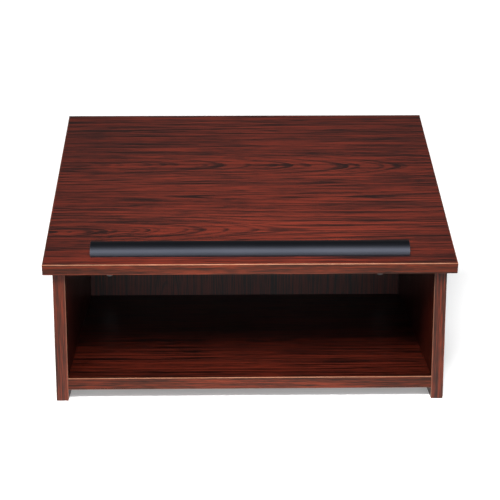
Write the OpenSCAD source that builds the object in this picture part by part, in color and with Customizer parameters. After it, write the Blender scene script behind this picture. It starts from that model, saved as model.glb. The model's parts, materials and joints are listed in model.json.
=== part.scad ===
// Tabletop lectern: a slanted reading top on an open shelf box of 16 mm faced board.
// Flat-pack construction: boards with edge bands, held by dowels, cam bolts and cam locks
// that turn half a turn to lock. A half-round book stop is screwed on from underneath.
// Frame: X to the right, Y to the back, Z up; the origin is under the middle of the object.

/* [Carcass] */
// Width over the two side panels
body_w = 508; // [420:1:620]
// Depth of the side panels, front to back
side_d = 391; // [320:1:480]
// Height of a side panel at its front edge
front_h = 179; // [145:1:230]
// Clear gap under the shelf
shelf_gap = 15; // [8:0.5:30]

/* [Reading top] */
// Slope of the reading top, in degrees
slope = 16.2; // [8:0.1:24]
// How far the top reaches in front of the side panels, along the slope
top_nose = 15; // [6:0.5:30]
// How far the top reaches behind the side panels, along the slope
top_tail = 5; // [2:0.5:30]
// How far the top reaches past each side panel
top_lap = 11; // [2:0.5:30]

/* [Boards] */
// Thickness of every board
board_t = 16; // [15:0.5:19]
// Thickness of the edge bands
band_t = 1.5; // [1:0.1:2]
// Round-over on the outer arrises of the edge bands
band_r = 1; // [0.2:0.1:1]

/* [Book stop] */
// Length of the book stop
stop_l = 410; // [300:1:440]
// Radius of its half-round section
stop_r = 14; // [11:0.5:16]
// Distance from the front edge of the top to the front of the stop
stop_inset = 18; // [10:0.5:60]
// Wall of the stop's round shell
stop_wall = 1.8; // [1.2:0.1:2.4]
// Wall of the stop's flat base
stop_base = 2.5; // [2:0.1:3.5]
// Width of the screw rib inside the stop
rib_w = 9; // [7:0.5:10]
// Height of the screw rib, from the foot of the stop
rib_h = 8.5; // [7:0.1:9]
// Depth of the plugs that close its ends
plug_d = 8; // [4:0.5:15]
// How far the plugs sit inside the ends
plug_sink = 0.4; // [0:0.1:1]
// Number of screws that hold the stop
stop_screws_n = 4; // [2:1:6]
// Distance from the end of the stop to its first screw
screw_inset = 45; // [20:1:60]

/* [Wood screws] */
// Shank diameter of the wood screws
screw_d = 4; // [3:0.1:5]
// Head diameter of the wood screws
screw_head_d = 8; // [7:0.1:9]
// Height of the screw heads
screw_head_h = 2.4; // [2:0.1:3]
// Depth of the cross in a screw's head
screw_drive_h = 1.8; // [1:0.1:2]
// Diameter of a screw's blunt tip
screw_tip_d = 1; // [0.5:0.1:2]
// How far a screw reaches into the book stop
screw_bite = 7.5; // [4:0.1:8]

/* [Cam locks] */
// Diameter of a cam lock
cam_d = 15; // [14:0.1:16]
// Floor of a cam lock, under its chamber
cam_base = 0.9; // [0.6:0.1:1.2]
// How far the face of a cam lock stands proud of its board
cam_proud = 0.3; // [0:0.1:0.5]
// Offset of the round chamber, which draws the bolt in, from the cam's own axis
chamber_off = 1.2; // [1.1:0.05:1.3]
// Length of one arm-to-arm driver slot in the cam's face
drive_l = 6.6; // [5:0.1:8]
// Width of a driver slot
drive_w = 1.3; // [1:0.1:2]
// Depth of a driver slot
drive_h = 2.4; // [1.5:0.1:3]

/* [Cam bolts] */
// Distance from the joint to the cam's axis
cam_reach = 29; // [24:0.5:34]
// Ball diameter of a bolt's head
head_d = 6; // [5.6:0.1:6.2]
// Distance from the cam's axis to the centre of the bolt's ball head
head_off = 1.5; // [1.3:0.05:1.6]
// How much of the ball is cut off to a flat at the bolt's end
head_flat = 0.6; // [0.3:0.1:1]
// Diameter of a bolt's neck
neck_d = 3.6; // [3:0.1:3.8]
// Diameter of a bolt's shank
shank_d = 6.4; // [6:0.1:7]
// Diameter of a bolt's thread
thread_d = 5; // [4:0.1:5.5]
// Length of a bolt's thread
thread_l = 10.5; // [8:0.5:12]
// Distance from a cam's rim to the bolt's shank
shank_back = 1; // [0.6:0.1:2]

/* [Dowels] */
// Diameter of the dowels
dowel_d = 8; // [6:1:9]
// How far a dowel reaches into the edge of a board
dowel_deep = 20; // [15:0.5:24]
// How far a dowel reaches into the face of a board
dowel_shallow = 10; // [8:0.5:12]
// Bevel at both ends of a dowel
dowel_bevel = 1; // [0.5:0.1:2]
// Distance from a cam to the dowel beside it
dowel_step = 32; // [24:1:40]

/* [Places of the fittings] */
// Distance of the top's cams from the ends of the side panels, along the slope
top_cam_in = 60; // [40:1:80]
// Distance of the shelf's cams from the front and rear of the shelf
shelf_cam_in = 48; // [30:1:80]
// Height of the back panel's lower cams above the ground
back_cam_low = 69; // [55:1:90]
// Distance of the back panel's upper cams below the top
back_cam_drop = 48; // [44:1:60]
// Number of dowels between the shelf and the back panel
rear_dowels_n = 3; // [1:1:5]

/* [Clearances] */
// Clearance of a cam lock in its bore, on the radius
cam_gap = 0.1; // [0.05:0.01:0.1]
// Clearance of a locked bolt's ball head in the cam's chamber
head_gap = 0.1; // [0.05:0.01:0.2]
// Room above and below the ball head in the chamber
chamber_gap = 0.6; // [0.3:0.1:0.7]
// Clearance of the ball head in the cam's mouth and of the neck in its slot, on the radius
slot_gap = 0.4; // [0.2:0.05:0.5]
// Room under a cam lock at the floor of its bore
cam_floor = 0.3; // [0.1:0.1:0.5]
// Clearance of a bolt's shank in its bore, on the radius
shank_gap = 0.8; // [0.3:0.1:0.8]
// Room past the tip of a thread, a dowel or a screw
tip_gap = 0.5; // [0.2:0.1:1]
// Clearance of a wood screw in the board, on the radius
screw_gap = 0.1; // [0:0.05:0.3]
// Clearance of the end plugs in the book stop
plug_gap = 0.05; // [0.02:0.01:0.1]

/* [Hidden] */
$fn = 64;

LEFT = -1;
RIGHT = 1;
RED_WOOD = "#6e2a1e";
RED_BAND = "#7a3a2c";
STOP_BLACK = "#2b2f3a";
ZINC = "#c9c9c4";
STEEL = "#a7a9ac";
BEECH = "#d2b184";
OVERSIZE = 1;                                      // how far a cutter runs past a face

inner_w = body_w - 2 * board_t;                    // between the side panels
top_w = body_w + 2 * top_lap;
slope_l = side_d / cos(slope);                     // a side panel's sloping edge
rear_h = front_h + side_d * tan(slope);            // a side panel's rear edge
top_l = top_nose + slope_l + top_tail;
// The side panels' front edge, placed so that the whole object is centred on Y
front_y = (top_nose * cos(slope) + board_t * sin(slope) - (top_l - top_nose) * cos(slope)) / 2;
back_y = front_y + side_d - board_t;               // the back panel's inner face
shelf_d = side_d - board_t;
shelf_mid_z = shelf_gap + board_t / 2;
stop_mid = stop_inset + stop_r - top_nose;         // the stop's middle, from the side panels' front
screw_l = board_t + screw_bite;
chamber_r = head_off + chamber_off + head_d / 2 + head_gap;
chamber_h = head_d + 2 * chamber_gap;
mouth_d = head_d + 2 * slot_gap;                   // lets the bolt's head in
neck_slot = neck_d + 2 * slot_gap;                 // lets the bolt's neck run round
cam_h = (board_t + chamber_h) / 2 + cam_base;      // depth of a cam lock in its board

top_cam_s = [top_cam_in, slope_l - top_cam_in];
top_dowel_s = [top_cam_in + dowel_step, slope_l - top_cam_in - dowel_step];
shelf_cam_y = [shelf_cam_in, shelf_d - shelf_cam_in];
shelf_dowel_y = [shelf_cam_in + dowel_step, shelf_d - shelf_cam_in - dowel_step];
back_cam_high = front_h + (side_d - board_t / 2) * tan(slope) - back_cam_drop;
back_cam_z = [back_cam_low, back_cam_high];
back_dowel_z = [back_cam_low + dowel_step, back_cam_high - dowel_step];
rear_dowel_pitch = inner_w / (rear_dowels_n + 1);
rear_dowel_x = [for (i = [1:rear_dowels_n]) i * rear_dowel_pitch - inner_w / 2];
screw_pitch = (stop_l - 2 * screw_inset) / (stop_screws_n - 1);
screw_x = [for (i = [0:stop_screws_n - 1]) i * screw_pitch - stop_l / 2 + screw_inset];

// ---- Places -----------------------------------------------------------------------------

// Puts children on the underside of the top: Y runs up the slope from the side panels'
// front edge, Z stands square to the slope
module on_slope(s = 0, x = 0) {
    translate([0, front_y, front_h])
        rotate([slope, 0, 0])
            translate([x, s, 0])
                children();
}

// Seats of the cam locks: the lock's face is at Z = 0 and its bolt leaves along +X

module top_cam_seat(hand, s) {
    on_slope(s, hand * inner_w / 2)
        translate([0, 0, -cam_reach])
            rotate([0, -hand * 90, 0])
                rotate([0, 0, hand == LEFT ? 180 : 0])
                    children();
}

module back_cam_seat(hand, z) {
    translate([hand * (inner_w / 2 - cam_reach), back_y, z])
        rotate([90, 0, 0])
            rotate([0, 0, hand == LEFT ? 180 : 0])
                children();
}

module shelf_cam_seat(hand, y) {
    translate([hand * (inner_w / 2 - cam_reach), front_y + y, shelf_gap])
        rotate([180, 0, 0])
            rotate([0, 0, hand == LEFT ? 180 : 0])
                children();
}

// Seats of the dowels: Z = 0 is the joint and +Z points into the face-drilled board

module top_dowel_seat(hand, s) {
    on_slope(s, hand * (body_w - board_t) / 2)
        children();
}

module back_dowel_seat(hand, z) {
    translate([hand * inner_w / 2, back_y + board_t / 2, z])
        rotate([0, hand * 90, 0])
            children();
}

module shelf_dowel_seat(hand, y) {
    translate([hand * inner_w / 2, front_y + y, shelf_mid_z])
        rotate([0, hand * 90, 0])
            children();
}

module rear_dowel_seat(x) {
    translate([x, back_y, shelf_mid_z])
        rotate([-90, 0, 0])
            children();
}

module each_top_cam(hand) {
    for (s = top_cam_s)
        top_cam_seat(hand, s)
            children();
}

module each_back_cam(hand) {
    for (z = back_cam_z)
        back_cam_seat(hand, z)
            children();
}

module each_shelf_cam(hand) {
    for (y = shelf_cam_y)
        shelf_cam_seat(hand, y)
            children();
}

module each_top_dowel(hand) {
    for (s = top_dowel_s)
        top_dowel_seat(hand, s)
            children();
}

module each_back_dowel(hand) {
    for (z = back_dowel_z)
        back_dowel_seat(hand, z)
            children();
}

module each_shelf_dowel(hand) {
    for (y = shelf_dowel_y)
        shelf_dowel_seat(hand, y)
            children();
}

module each_rear_dowel() {
    for (x = rear_dowel_x)
        rear_dowel_seat(x)
            children();
}

module each_stop_screw() {
    for (x = screw_x)
        on_slope(stop_mid, x)
            children();
}

// ---- Bores ------------------------------------------------------------------------------

// The pocket of a cam lock and the edge bore that its bolt passes
module cam_bore() {
    bore_h = cam_h + cam_floor;
    translate([0, 0, -bore_h])
        cylinder(h = bore_h + OVERSIZE, d = cam_d + 2 * cam_gap);
    translate([0, 0, -board_t / 2])
        rotate([0, 90, 0])
            cylinder(h = cam_reach + OVERSIZE, d = shank_d + 2 * shank_gap);
}

// The blind pilot bore that a cam bolt is driven into
module thread_bore() {
    translate([cam_reach - OVERSIZE, 0, -board_t / 2])
        rotate([0, 90, 0])
            cylinder(h = thread_l + tip_gap + OVERSIZE, d = thread_d);
}

module dowel_bore() {
    translate([0, 0, -dowel_deep - tip_gap])
        cylinder(h = dowel_deep + dowel_shallow + 2 * tip_gap, d = dowel_d);
}

// ---- Fittings ---------------------------------------------------------------------------

// A cam lock: the eccentric chamber runs from the mouth, where the bolt's head comes in, to
// the locked side, where the wall is thickest and holds the head by its neck
module cam_lock() {
    mid = -board_t / 2;
    color(ZINC)
        difference() {
            translate([0, 0, -cam_h])
                cylinder(h = cam_h + cam_proud, d = cam_d);
            translate([-chamber_off, 0, mid - chamber_h / 2])
                cylinder(h = chamber_h, r = chamber_r);
            translate([0, 0, mid])
                rotate([0, -90, 0])
                    cylinder(h = cam_d, d = mouth_d);
            translate([0, 0, mid])
                rotate([0, 90, 0])
                    cylinder(h = cam_d, d = neck_slot);
            translate([0, 0, mid - neck_slot / 2])
                rotate([0, 0, 180])
                    rotate_extrude(angle = 180)
                        translate([(chamber_r - chamber_off) / 2, 0])
                            square([cam_d, neck_slot]);
            for (a = [45, 135])
                rotate([0, 0, a])
                    translate([-drive_l / 2, -drive_w / 2, cam_proud - drive_h])
                        cube([drive_l, drive_w, drive_h + OVERSIZE]);
        }
}

// Half section of a cam bolt: X is the radius, Y runs from the cam's axis to the thread's tip
module bolt_section() {
    shank_start = cam_d / 2 + shank_back;
    intersection() {
        union() {
            translate([0, head_off])
                circle(d = head_d);
            square([neck_d / 2, cam_reach]);
            translate([0, shank_start])
                square([shank_d / 2, cam_reach - shank_start]);
            translate([0, shank_start])
                square([thread_d / 2, cam_reach + thread_l - shank_start]);
        }
        translate([0, head_off - head_d / 2 + head_flat])
            square([head_d, cam_reach + thread_l]);
    }
}

// A cam bolt, in the frame of its cam's seat; the ball head ends in a small flat
module cam_bolt() {
    color(STEEL)
        translate([0, 0, -board_t / 2])
            rotate([0, 90, 0])
                rotate_extrude()
                    bolt_section();
}

module dowel() {
    color(BEECH) {
        translate([0, 0, -dowel_deep])
            cylinder(h = dowel_bevel, d1 = dowel_d - 2 * dowel_bevel, d2 = dowel_d);
        translate([0, 0, -dowel_deep + dowel_bevel])
            cylinder(h = dowel_deep + dowel_shallow - 2 * dowel_bevel, d = dowel_d);
        translate([0, 0, dowel_shallow - dowel_bevel])
            cylinder(h = dowel_bevel, d1 = dowel_d, d2 = dowel_d - 2 * dowel_bevel);
    }
}

// A countersunk wood screw, head down, its head's face at Z = 0
module wood_screw() {
    point = screw_d / 2;
    color(STEEL)
        difference() {
            union() {
                cylinder(h = screw_head_h, d1 = screw_head_d, d2 = screw_d);
                cylinder(h = screw_l - point, d = screw_d);
                translate([0, 0, screw_l - point])
                    cylinder(h = point, d1 = screw_d, d2 = screw_tip_d);
            }
            for (a = [0, 90])
                rotate([0, 0, a])
                    translate([-screw_d / 2, -drive_w / 2, -OVERSIZE])
                        cube([screw_d, drive_w, OVERSIZE + screw_drive_h]);
        }
}

// ---- Boards and bands -------------------------------------------------------------------

// Section of an edge band, w wide: the glued side is flat and the outer arrises are rounded
module band_section(w) {
    intersection() {
        square([w, band_t]);
        union() {
            translate([0, band_r])
                square([w, band_t]);
            translate([band_r, 0])
                square([w - 2 * band_r, band_t]);
            for (u = [band_r, w - band_r])
                translate([u, band_r])
                    circle(r = band_r);
        }
    }
}

// Outline of a side panel, as seen from the right: X to the back, Y up
module side_outline() {
    polygon([[0, 0], [side_d, 0], [side_d, rear_h], [0, front_h]]);
}

// The space of one side panel, out to its outer faces
module side_blank(hand) {
    translate([hand * (body_w - board_t) / 2 - board_t / 2, front_y, 0])
        rotate([90, 0, 90])
            linear_extrude(board_t)
                side_outline();
}

module side_board(hand) {
    color(RED_WOOD)
        difference() {
            side_blank(hand);
            for (y = [front_y - OVERSIZE, front_y + side_d - band_t])
                translate([-body_w / 2 - OVERSIZE, y, -OVERSIZE])
                    cube([body_w + 2 * OVERSIZE, band_t + OVERSIZE, rear_h + 2 * OVERSIZE]);
            translate([-body_w / 2 - OVERSIZE, front_y - OVERSIZE, -OVERSIZE])
                cube([body_w + 2 * OVERSIZE, side_d + 2 * OVERSIZE, band_t + OVERSIZE]);
            each_top_cam(hand) cam_bore();
            each_top_dowel(hand) dowel_bore();
            each_back_cam(hand) thread_bore();
            each_back_dowel(hand) dowel_bore();
            each_shelf_cam(hand) thread_bore();
            each_shelf_dowel(hand) dowel_bore();
        }
}

// The band on a side panel's front edge
module side_front_band(hand) {
    color(RED_BAND)
        intersection() {
            side_blank(hand);
            translate([hand * (body_w - board_t) / 2 - board_t / 2, front_y, 0])
                linear_extrude(rear_h + OVERSIZE)
                    band_section(board_t);
        }
}

module side_rear_band(hand) {
    color(RED_BAND)
        intersection() {
            side_blank(hand);
            translate([hand * (body_w - board_t) / 2 + board_t / 2, front_y + side_d, 0])
                rotate([0, 0, 180])
                    linear_extrude(rear_h + OVERSIZE)
                        band_section(board_t);
        }
}

// The band that a side panel stands on
module side_foot_band(hand) {
    color(RED_BAND)
        translate([hand * (body_w - board_t) / 2 - board_t / 2, front_y + side_d - band_t, 0])
            rotate([90, 0, 0])
                linear_extrude(side_d - 2 * band_t)
                    band_section(board_t);
}

// ---- Nodes: the reading top -------------------------------------------------------------

module top_board() {
    color(RED_WOOD)
        difference() {
            on_slope()
                translate([band_t - top_w / 2, band_t - top_nose, 0])
                    cube([top_w - 2 * band_t, top_l - 2 * band_t, board_t]);
            for (hand = [LEFT, RIGHT]) {
                each_top_cam(hand) thread_bore();
                each_top_dowel(hand) dowel_bore();
            }
            each_stop_screw() {
                translate([0, 0, -OVERSIZE])
                    cylinder(h = board_t + 2 * OVERSIZE, d = screw_d + 2 * screw_gap);
                cylinder(h = screw_head_h, d1 = screw_head_d, d2 = screw_d);
            }
        }
}

module top_front_band() {
    color(RED_BAND)
        on_slope()
            translate([-top_w / 2, -top_nose, 0])
                rotate([90, 0, 90])
                    linear_extrude(top_w)
                        rotate([0, 0, 90])
                            mirror([0, 1])
                                band_section(board_t);
}

module top_rear_band() {
    color(RED_BAND)
        on_slope()
            translate([-top_w / 2, top_l - top_nose, 0])
                rotate([90, 0, 90])
                    linear_extrude(top_w)
                        rotate([0, 0, 90])
                            band_section(board_t);
}

module top_side_band(hand) {
    color(RED_BAND)
        on_slope()
            translate([hand * top_w / 2, top_l - top_nose - band_t, 0])
                rotate([90, 0, 0])
                    linear_extrude(top_l - 2 * band_t)
                        rotate([0, 0, 90])
                            mirror([0, hand == LEFT ? 1 : 0])
                                band_section(board_t);
}

module top_left_band() {
    top_side_band(LEFT);
}

module top_right_band() {
    top_side_band(RIGHT);
}

// ---- Nodes: the side panels -------------------------------------------------------------

module left_side() {
    side_board(LEFT);
}

module left_front_band() {
    side_front_band(LEFT);
}

module left_rear_band() {
    side_rear_band(LEFT);
}

module left_foot_band() {
    side_foot_band(LEFT);
}

module right_side() {
    side_board(RIGHT);
}

module right_front_band() {
    side_front_band(RIGHT);
}

module right_rear_band() {
    side_rear_band(RIGHT);
}

module right_foot_band() {
    side_foot_band(RIGHT);
}

// ---- Nodes: the shelf and the back panel ------------------------------------------------

module shelf() {
    color(RED_WOOD)
        difference() {
            translate([-inner_w / 2, front_y + band_t, shelf_gap])
                cube([inner_w, shelf_d - band_t, board_t]);
            for (hand = [LEFT, RIGHT]) {
                each_shelf_cam(hand) cam_bore();
                each_shelf_dowel(hand) dowel_bore();
            }
            each_rear_dowel() dowel_bore();
        }
}

module shelf_front_band() {
    color(RED_BAND)
        translate([-inner_w / 2, front_y, shelf_gap])
            rotate([90, 0, 90])
                linear_extrude(inner_w)
                    rotate([0, 0, 90])
                        mirror([0, 1])
                            band_section(board_t);
}

module back_panel() {
    color(RED_WOOD)
        difference() {
            translate([-inner_w / 2, 0, 0])
                rotate([90, 0, 90])
                    linear_extrude(inner_w)
                        polygon([
                            [back_y, shelf_gap + band_t],
                            [back_y + board_t, shelf_gap + band_t],
                            [back_y + board_t, rear_h],
                            [back_y, front_h + (side_d - board_t) * tan(slope)]
                        ]);
            for (hand = [LEFT, RIGHT]) {
                each_back_cam(hand) cam_bore();
                each_back_dowel(hand) dowel_bore();
            }
            each_rear_dowel() dowel_bore();
        }
}

module back_foot_band() {
    color(RED_BAND)
        translate([-inner_w / 2, back_y, shelf_gap])
            rotate([90, 0, 90])
                linear_extrude(inner_w)
                    band_section(board_t);
}

// ---- Nodes: the book stop ---------------------------------------------------------------

// A half disc that stands on the X axis
module half_disc(r) {
    intersection() {
        circle(r = r);
        translate([-r, 0])
            square([2 * r, r]);
    }
}

// Section of the chamber inside the stop, drawn in by gap on every side
module stop_chamber(gap) {
    difference() {
        half_disc(stop_r - stop_wall - gap);
        translate([-stop_r, 0])
            square([2 * stop_r, stop_base + gap]);
        translate([-rib_w / 2 - gap, 0])
            square([rib_w + 2 * gap, rib_h + gap]);
    }
}

// Extrudes a section along the stop from x to x + l
module along_stop(x, l) {
    on_slope(stop_mid, x)
        translate([0, 0, board_t])
            rotate([90, 0, 90])
                linear_extrude(l)
                    children();
}

module book_stop() {
    color(STOP_BLACK)
        difference() {
            along_stop(-stop_l / 2, stop_l)
                half_disc(stop_r);
            along_stop(-stop_l / 2 - OVERSIZE, stop_l + 2 * OVERSIZE)
                stop_chamber(0);
            each_stop_screw()
                translate([0, 0, board_t - OVERSIZE])
                    cylinder(h = screw_bite + OVERSIZE + tip_gap, d = screw_d);
        }
}

module stop_left_plug() {
    color(STOP_BLACK)
        along_stop(plug_sink - stop_l / 2, plug_d)
            stop_chamber(plug_gap);
}

module stop_right_plug() {
    color(STOP_BLACK)
        along_stop(stop_l / 2 - plug_sink - plug_d, plug_d)
            stop_chamber(plug_gap);
}

module stop_screws() {
    each_stop_screw() wood_screw();
}

// ---- Nodes: bolts and dowels ------------------------------------------------------------

module top_bolts() {
    for (hand = [LEFT, RIGHT])
        each_top_cam(hand) cam_bolt();
}

module back_bolts() {
    for (hand = [LEFT, RIGHT])
        each_back_cam(hand) cam_bolt();
}

module shelf_bolts() {
    for (hand = [LEFT, RIGHT])
        each_shelf_cam(hand) cam_bolt();
}

module top_dowels() {
    for (hand = [LEFT, RIGHT])
        each_top_dowel(hand) dowel();
}

module back_dowels() {
    for (hand = [LEFT, RIGHT])
        each_back_dowel(hand) dowel();
}

module shelf_dowels() {
    for (hand = [LEFT, RIGHT])
        each_shelf_dowel(hand) dowel();
}

module shelf_rear_dowels() {
    each_rear_dowel() dowel();
}

// ---- Nodes: the cam locks, each of which turns ------------------------------------------

module cam_top_left_front() {
    top_cam_seat(LEFT, top_cam_s[0]) cam_lock();
}

module cam_top_left_rear() {
    top_cam_seat(LEFT, top_cam_s[1]) cam_lock();
}

module cam_top_right_front() {
    top_cam_seat(RIGHT, top_cam_s[0]) cam_lock();
}

module cam_top_right_rear() {
    top_cam_seat(RIGHT, top_cam_s[1]) cam_lock();
}

module cam_back_left_low() {
    back_cam_seat(LEFT, back_cam_z[0]) cam_lock();
}

module cam_back_left_high() {
    back_cam_seat(LEFT, back_cam_z[1]) cam_lock();
}

module cam_back_right_low() {
    back_cam_seat(RIGHT, back_cam_z[0]) cam_lock();
}

module cam_back_right_high() {
    back_cam_seat(RIGHT, back_cam_z[1]) cam_lock();
}

module cam_shelf_left_front() {
    shelf_cam_seat(LEFT, shelf_cam_y[0]) cam_lock();
}

module cam_shelf_left_rear() {
    shelf_cam_seat(LEFT, shelf_cam_y[1]) cam_lock();
}

module cam_shelf_right_front() {
    shelf_cam_seat(RIGHT, shelf_cam_y[0]) cam_lock();
}

module cam_shelf_right_rear() {
    shelf_cam_seat(RIGHT, shelf_cam_y[1]) cam_lock();
}

top_board();
top_front_band();
top_rear_band();
top_left_band();
top_right_band();
left_side();
left_front_band();
left_rear_band();
left_foot_band();
right_side();
right_front_band();
right_rear_band();
right_foot_band();
shelf();
shelf_front_band();
back_panel();
back_foot_band();
book_stop();
stop_left_plug();
stop_right_plug();
stop_screws();
top_bolts();
back_bolts();
shelf_bolts();
top_dowels();
back_dowels();
shelf_dowels();
shelf_rear_dowels();
cam_top_left_front();
cam_top_left_rear();
cam_top_right_front();
cam_top_right_rear();
cam_back_left_low();
cam_back_left_high();
cam_back_right_low();
cam_back_right_high();
cam_shelf_left_front();
cam_shelf_left_rear();
cam_shelf_right_front();
cam_shelf_right_rear();
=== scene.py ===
"""Looks of a tabletop lectern: a slanted reading top on an open shelf box of red wood-grain board.

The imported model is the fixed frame. Its boards keep their shape and get their grain here. The edge
bands, the book stop, the cam locks, bolts, dowels and screws are rebuilt with the detail of the
real fittings, inside the same sizes and on the same bodies.
"""

import json
import logging
import math
from dataclasses import dataclass, field
from enum import Enum
from typing import Iterable, Optional, Sequence

import bmesh
import bpy
from mathutils import Matrix, Vector


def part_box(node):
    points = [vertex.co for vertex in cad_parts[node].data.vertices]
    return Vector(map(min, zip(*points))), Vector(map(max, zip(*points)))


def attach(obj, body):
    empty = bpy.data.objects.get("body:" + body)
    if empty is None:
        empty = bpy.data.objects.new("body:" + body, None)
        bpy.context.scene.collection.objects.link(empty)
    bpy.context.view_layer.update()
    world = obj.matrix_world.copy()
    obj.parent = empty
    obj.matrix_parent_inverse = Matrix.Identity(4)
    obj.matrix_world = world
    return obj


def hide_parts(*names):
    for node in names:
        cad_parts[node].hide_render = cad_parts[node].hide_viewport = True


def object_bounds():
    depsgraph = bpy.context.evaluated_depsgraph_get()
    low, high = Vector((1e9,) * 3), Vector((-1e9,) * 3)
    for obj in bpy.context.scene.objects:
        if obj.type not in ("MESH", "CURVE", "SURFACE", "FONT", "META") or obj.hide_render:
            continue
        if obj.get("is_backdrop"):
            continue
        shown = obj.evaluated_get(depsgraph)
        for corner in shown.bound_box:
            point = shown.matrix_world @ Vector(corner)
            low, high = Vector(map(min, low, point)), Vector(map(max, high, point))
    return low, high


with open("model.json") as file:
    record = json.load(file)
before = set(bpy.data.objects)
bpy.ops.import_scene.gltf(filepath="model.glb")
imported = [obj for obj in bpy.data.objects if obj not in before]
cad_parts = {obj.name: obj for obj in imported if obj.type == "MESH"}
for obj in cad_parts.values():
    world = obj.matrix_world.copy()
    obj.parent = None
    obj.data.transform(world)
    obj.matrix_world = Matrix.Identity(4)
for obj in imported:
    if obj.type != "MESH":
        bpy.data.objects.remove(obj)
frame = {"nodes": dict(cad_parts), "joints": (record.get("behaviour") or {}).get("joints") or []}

LOG = logging.getLogger("lectern")
MM = 0.001
CARCASS = "carcass"
X_AXIS = Vector((1, 0, 0))
Y_AXIS = Vector((0, 1, 0))
Z_AXIS = Vector((0, 0, 1))
WELD = 1e-7  # corners closer than this, in metres, are one corner
ISLAND_WELD = 1e-6  # the same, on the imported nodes
ON_AXIS = 1e-9  # radii under this are nought
FLOOR_GAP = 0.2 * MM  # from the floor up to the feet
Colour = tuple[float, float, float]
Point2 = tuple[float, float]


class Hand(Enum):
    """The two sides of the lectern; the value is the sign of X."""

    LEFT = -1
    RIGHT = 1

    @property
    def word(self) -> str:
        """The side's name as the nodes spell it."""
        return self.name.lower()


# ---- Places


@dataclass(frozen=True)
class Place:
    """A local frame for a board, a band or a fitting.

    Attributes:
        origin: Where the local origin lies, in metres.
        turn: Rotation from the local axes to the object's axes.
    """

    origin: Vector
    turn: Matrix

    @staticmethod
    def of_axes(origin: Vector, along: Vector, up: Vector) -> "Place":
        """Makes a place from its X axis and its Z axis.

        Args:
            origin: Where the local origin lies.
            along: Direction of local X.
            up: Direction of local Z, square to along.

        Returns:
            The place.
        """
        x, z = along.normalized(), up.normalized()
        y = z.cross(x)
        return Place(origin.copy(), Matrix((x, y, z)).transposed())

    @property
    def matrix(self) -> Matrix:
        """The full transform from local to object coordinates."""
        return Matrix.Translation(self.origin) @ self.turn.to_4x4()

    def at(self, x: float, y: float, z: float) -> Vector:
        """A local point in object coordinates."""
        return self.matrix @ Vector((x, y, z))


OWN_FRAME = Place(Vector(), Matrix.Identity(3))


@dataclass(frozen=True)
class Slope:
    """The slab of the reading top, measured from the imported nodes.

    Attributes:
        low: Its lowest front edge's middle.
        along: Unit vector up the slope, towards the back.
        up: Unit vector square to the slope.
        width: Size from left to right.
        length: Size along the slope.
        thick: Size square to the slope.
    """

    low: Vector
    along: Vector
    up: Vector
    width: float
    length: float
    thick: float

    @staticmethod
    def measured() -> "Slope":
        """Works the slab out from its nodes' boxes and from two cam locks that lie along it.

        Returns:
            The slab.
        """
        pins = {j["name"]: Vector(j["pos_m"]) for j in frame["joints"]}
        along = (pins["top_left_rear_turn"] - pins["top_left_front_turn"]).normalized()
        up = Vector((0, -along.z, along.y))
        low, high = joined_box("top_front_band", "top_rear_band")
        size = high - low
        double = along.y**2 - along.z**2
        length = (size.y * along.y - size.z * along.z) / double
        thick = (size.z * along.y - size.y * along.z) / double
        corner = Vector((0, low.y + thick * along.z, low.z))
        return Slope(corner, along, up, size.x, length, thick)

    def point(self, x: float, s: float, n: float = 0.0) -> Vector:
        """A point x to the right, s up the slope from its front edge and n above its underside."""
        return self.low + Vector((x, 0, 0)) + self.along * s + self.up * n


def joined_box(*nodes: str) -> tuple[Vector, Vector]:
    """The box around several nodes.

    Args:
        *nodes: Names of CAD nodes.

    Returns:
        The lowest and highest corners.
    """
    boxes = [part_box(n) for n in nodes]
    low = Vector([min(b[0][i] for b in boxes) for i in range(3)])
    high = Vector([max(b[1][i] for b in boxes) for i in range(3)])
    return low, high


def middle(low: Vector, high: Vector) -> Vector:
    """The middle of a box."""
    return (low + high) / 2


# ---- Shader graphs


class Wiring:
    """Adds and wires the nodes of one node tree."""

    def __init__(self, tree: bpy.types.NodeTree) -> None:
        """Takes the tree to work in."""
        self.tree = tree

    def feed(self, socket: bpy.types.NodeSocket, value: object) -> None:
        """Links a socket or sets its value.

        Args:
            socket: The input to fill.
            value: Another node's output, or a plain value.
        """
        if isinstance(value, bpy.types.NodeSocket):
            self.tree.links.new(value, socket)
        elif isinstance(value, (tuple, list)) and len(value) == 3 and socket.type == "RGBA":
            socket.default_value = (*value, 1.0)
        else:
            socket.default_value = value

    def add(self, kind: str, inputs: Optional[dict[object, object]] = None, **settings: object) -> bpy.types.Node:
        """Adds a node.

        Args:
            kind: Its type.
            inputs: Input names or numbers, with links or values.
            **settings: Properties of the node.

        Returns:
            The node.
        """
        node = self.tree.nodes.new(kind)
        for key, value in settings.items():
            setattr(node, key, value)
        for key, value in (inputs or {}).items():
            self.feed(node.inputs[key], value)
        return node

    def math(self, operation: str, *values: object) -> bpy.types.NodeSocket:
        """The result of a Math node on the values."""
        return self.add("ShaderNodeMath", dict(enumerate(values)), operation=operation).outputs[0]

    def ramp(self, value: object, stops: Sequence[tuple[float, Colour]], way: str = "LINEAR") -> bpy.types.NodeSocket:
        """A colour ramp.

        Args:
            value: Where along the ramp.
            stops: Places and colours, in order.
            way: How the ramp goes from stop to stop.

        Returns:
            The colour.
        """
        node = self.add("ShaderNodeValToRGB", {0: value})
        band = node.color_ramp
        band.interpolation = way
        while len(band.elements) < len(stops):
            band.elements.new(1.0)
        for element, (place, colour) in zip(band.elements, stops):
            element.position = place
            element.color = (*colour, 1.0)
        return node.outputs[0]


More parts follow.
